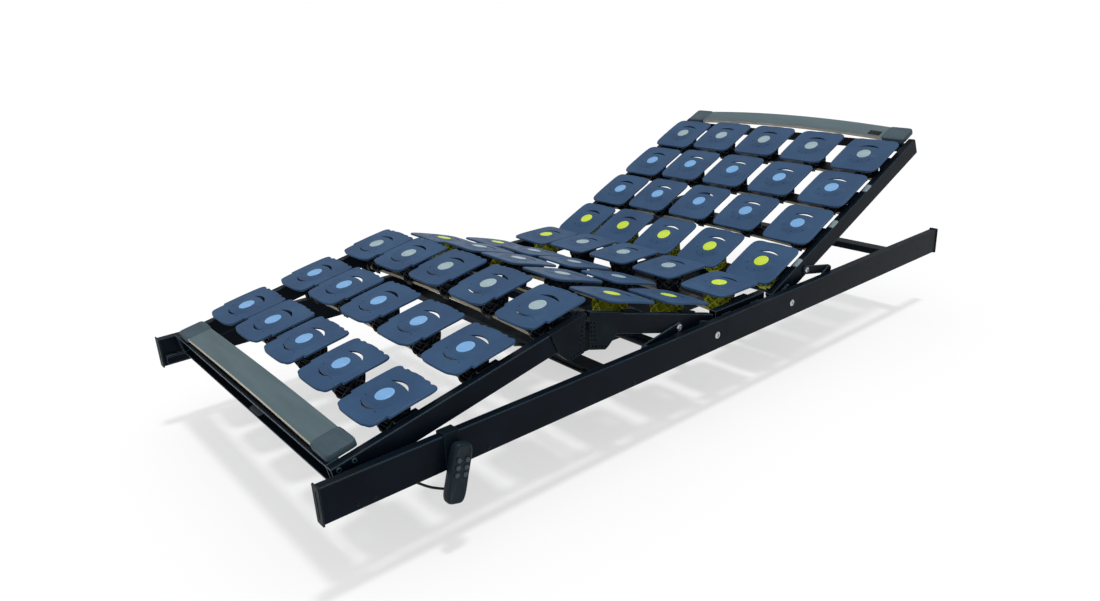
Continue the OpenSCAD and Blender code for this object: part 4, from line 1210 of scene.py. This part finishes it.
@dataclass
class CadFinishes:
    """Finishes of the CAD nodes whose own shape is shown."""

    steel: tuple[str, ...] = ("side_rails", "cross_tubes", "seat_frame", "foot_ledges",
                              "calf_frame", "thigh_frame", "back_frame", "leg_shaft",
                              "back_shaft", "leg_links", "back_links")
    black: tuple[str, ...] = ("rail_end_caps", "seat_slat_holders", "drive_lower_shell",
                              "drive_cover", "handset_hook", "cord_clips", "calf_slat_holders",
                              "calf_knee_covers", "calf_rollers", "thigh_slat_holders",
                              "thigh_knee_covers", "back_slat_holders")
    zinc: tuple[str, ...] = ("drive_motors",)
    acetal: tuple[str, ...] = ("shaft_bushes", "leg_drive_nut", "back_drive_nut")
    buttons: tuple[str, ...] = ("button_back_up", "button_back_down", "button_legs_up",
                                "button_legs_down", "button_both_up", "button_both_down")

    def build(self) -> None:
        """Give each carried-over node its finish."""
        groups = [(self.steel, POWDER_COAT), (self.black, BLACK_PP), (self.zinc, ZINC),
                  (self.acetal, ACETAL), (self.buttons, BUTTON_PP)]
        for section in (SEAT, THIGH, CALF, BACK):
            film = FilmFacedPlywood(f"film_faced_{section.name}_slats", "#2a2b29", "#383833",
                                    (0.4, 0.52), blotch_mm=20.0, grain_mm=1.0,
                                    grain_depth_mm=0.03, stretch=(0.12, 1.0, 1.0),
                                    tilt=section.tilt, edge="#a59c82", edge_dark="#756c54")
            node = "seat_slat" if section is SEAT else f"{section.name}_slats"
            groups.append(((node,), film))
        for names, finish in groups:
            material = finish.build()
            for name in names:
                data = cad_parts[name].data
                data.materials.clear()
                data.materials.append(material)
                LOG.info("%s: %s", name, finish.name)


@dataclass
class Studio:
    """Camera, floor and lights."""

    azimuth: float = 51.3777
    elevation: float = 20.2079
    roll: float = -3.1051
    distance: float = 2260.3994
    shift_x: float = -114.6477
    shift_y: float = 3.1047
    focal_px: float = 825.9866
    image_w: float = 1100.0
    sensor: float = 36.0
    floor_z: float = -0.155
    floor_glow: float = 0.59
    sun_strength: float = 1.6
    sun_spread: float = 7.0
    sun_tilt: tuple[float, float] = (-6.0, 5.0)

    def camera(self) -> None:
        """Stand the camera off along its direction and roll it about its view."""
        a, e, r = (math.radians(v) for v in (self.azimuth, self.elevation, self.roll))
        back = Vector((math.sin(a) * math.cos(e), -math.cos(a) * math.cos(e), math.sin(e)))
        right = Vector((math.cos(a), math.sin(a), 0))
        up = back.cross(right)
        right_r = right * math.cos(r) + up * math.sin(r)
        up_r = up * math.cos(r) - right * math.sin(r)
        data = bpy.data.cameras.new("camera")
        data.sensor_width = self.sensor
        data.lens = self.focal_px * self.sensor / self.image_w
        data.clip_start, data.clip_end = 0.05, 200
        turn = Matrix((right_r, up_r, back)).transposed().to_4x4()
        place = (back * self.distance + right_r * self.shift_x + up_r * self.shift_y) * MM
        camera = linked("camera", data)
        camera.matrix_world = Matrix.Translation(place) @ turn
        bpy.context.scene.camera = camera

    def floor(self) -> None:
        """Wide pale floor that glows like a light table, so that shadows on it stay light."""
        radius = np.array([0.0, 1500.0, 6000.0, 24000.0, 90000.0])
        shell = turned_profile(radius, np.full(len(radius), self.floor_z / MM), 48)
        mesh = shell.mesh("floor")
        if mesh.polygons[0].normal.z < 0:
            mesh.flip_normals()
        floor = linked("floor", mesh)
        paper = bpy.data.materials.new("pale_floor")
        paper.use_nodes = True
        shader = paper.node_tree.nodes["Principled BSDF"]
        shader.inputs["Base Color"].default_value = linear("#a0a0a0")
        shader.inputs["Roughness"].default_value = 0.9
        shader.inputs["Specular IOR Level"].default_value = 0.0
        shader.inputs["Emission Color"].default_value = linear("#ffffff")
        shader.inputs["Emission Strength"].default_value = self.floor_glow
        mesh.materials.append(paper)

    def sun(self) -> None:
        """Wide soft lamp nearly straight above the bed."""
        data = bpy.data.lights.new("overhead_lamp", "SUN")
        data.energy, data.angle = self.sun_strength, math.radians(self.sun_spread)
        lamp = linked("overhead_lamp", data)
        lamp.rotation_euler = (*(math.radians(t) for t in self.sun_tilt), 0.0)

    def air(self) -> None:
        """Surrounding light: bright overhead and at the horizon, dim between them.

        A colour ramp over the height of the direction, which is its Z, gives the brightness.
        """
        world = bpy.data.worlds.new("studio_air")
        world.use_nodes = True
        tree = world.node_tree
        way = add_node(tree, "ShaderNodeTexCoord")
        parts = add_node(tree, "ShaderNodeSeparateXYZ", {0: way.outputs["Generated"]})
        levels = add_node(tree, "ShaderNodeValToRGB", {0: parts.outputs["Z"]})
        keys = levels.color_ramp.elements
        for place, level in ((0.03, 1.0), (0.16, 0.34), (0.5, 0.55)):
            keys.new(place).color = (level, level, level, 1.0)
        keys[0].color = (1.0, 1.0, 1.0, 1.0)
        keys[-1].color = (1.0, 1.0, 1.0, 1.0)
        sky = tree.nodes["Background"]
        tree.links.new(levels.outputs["Color"], sky.inputs["Color"])
        sky.inputs["Strength"].default_value = 1.0
        bpy.context.scene.world = world

    def build(self) -> None:
        """Make the whole studio."""
        self.camera()
        self.floor()
        self.sun()
        self.air()
        bpy.context.scene.view_settings.view_transform = "Standard"


def main() -> None:
    """Build everything."""
    logging.basicConfig(level=logging.INFO, format="%(message)s")
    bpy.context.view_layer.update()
    Studio().build()
    HandsetCord().build()
    CadFinishes().build()
    PlateModules().build()
    EndSlats().build()
    SmallTrim().build()
    Fasteners().build()
    Handset().build()


if __name__ == "__main__":
    main()
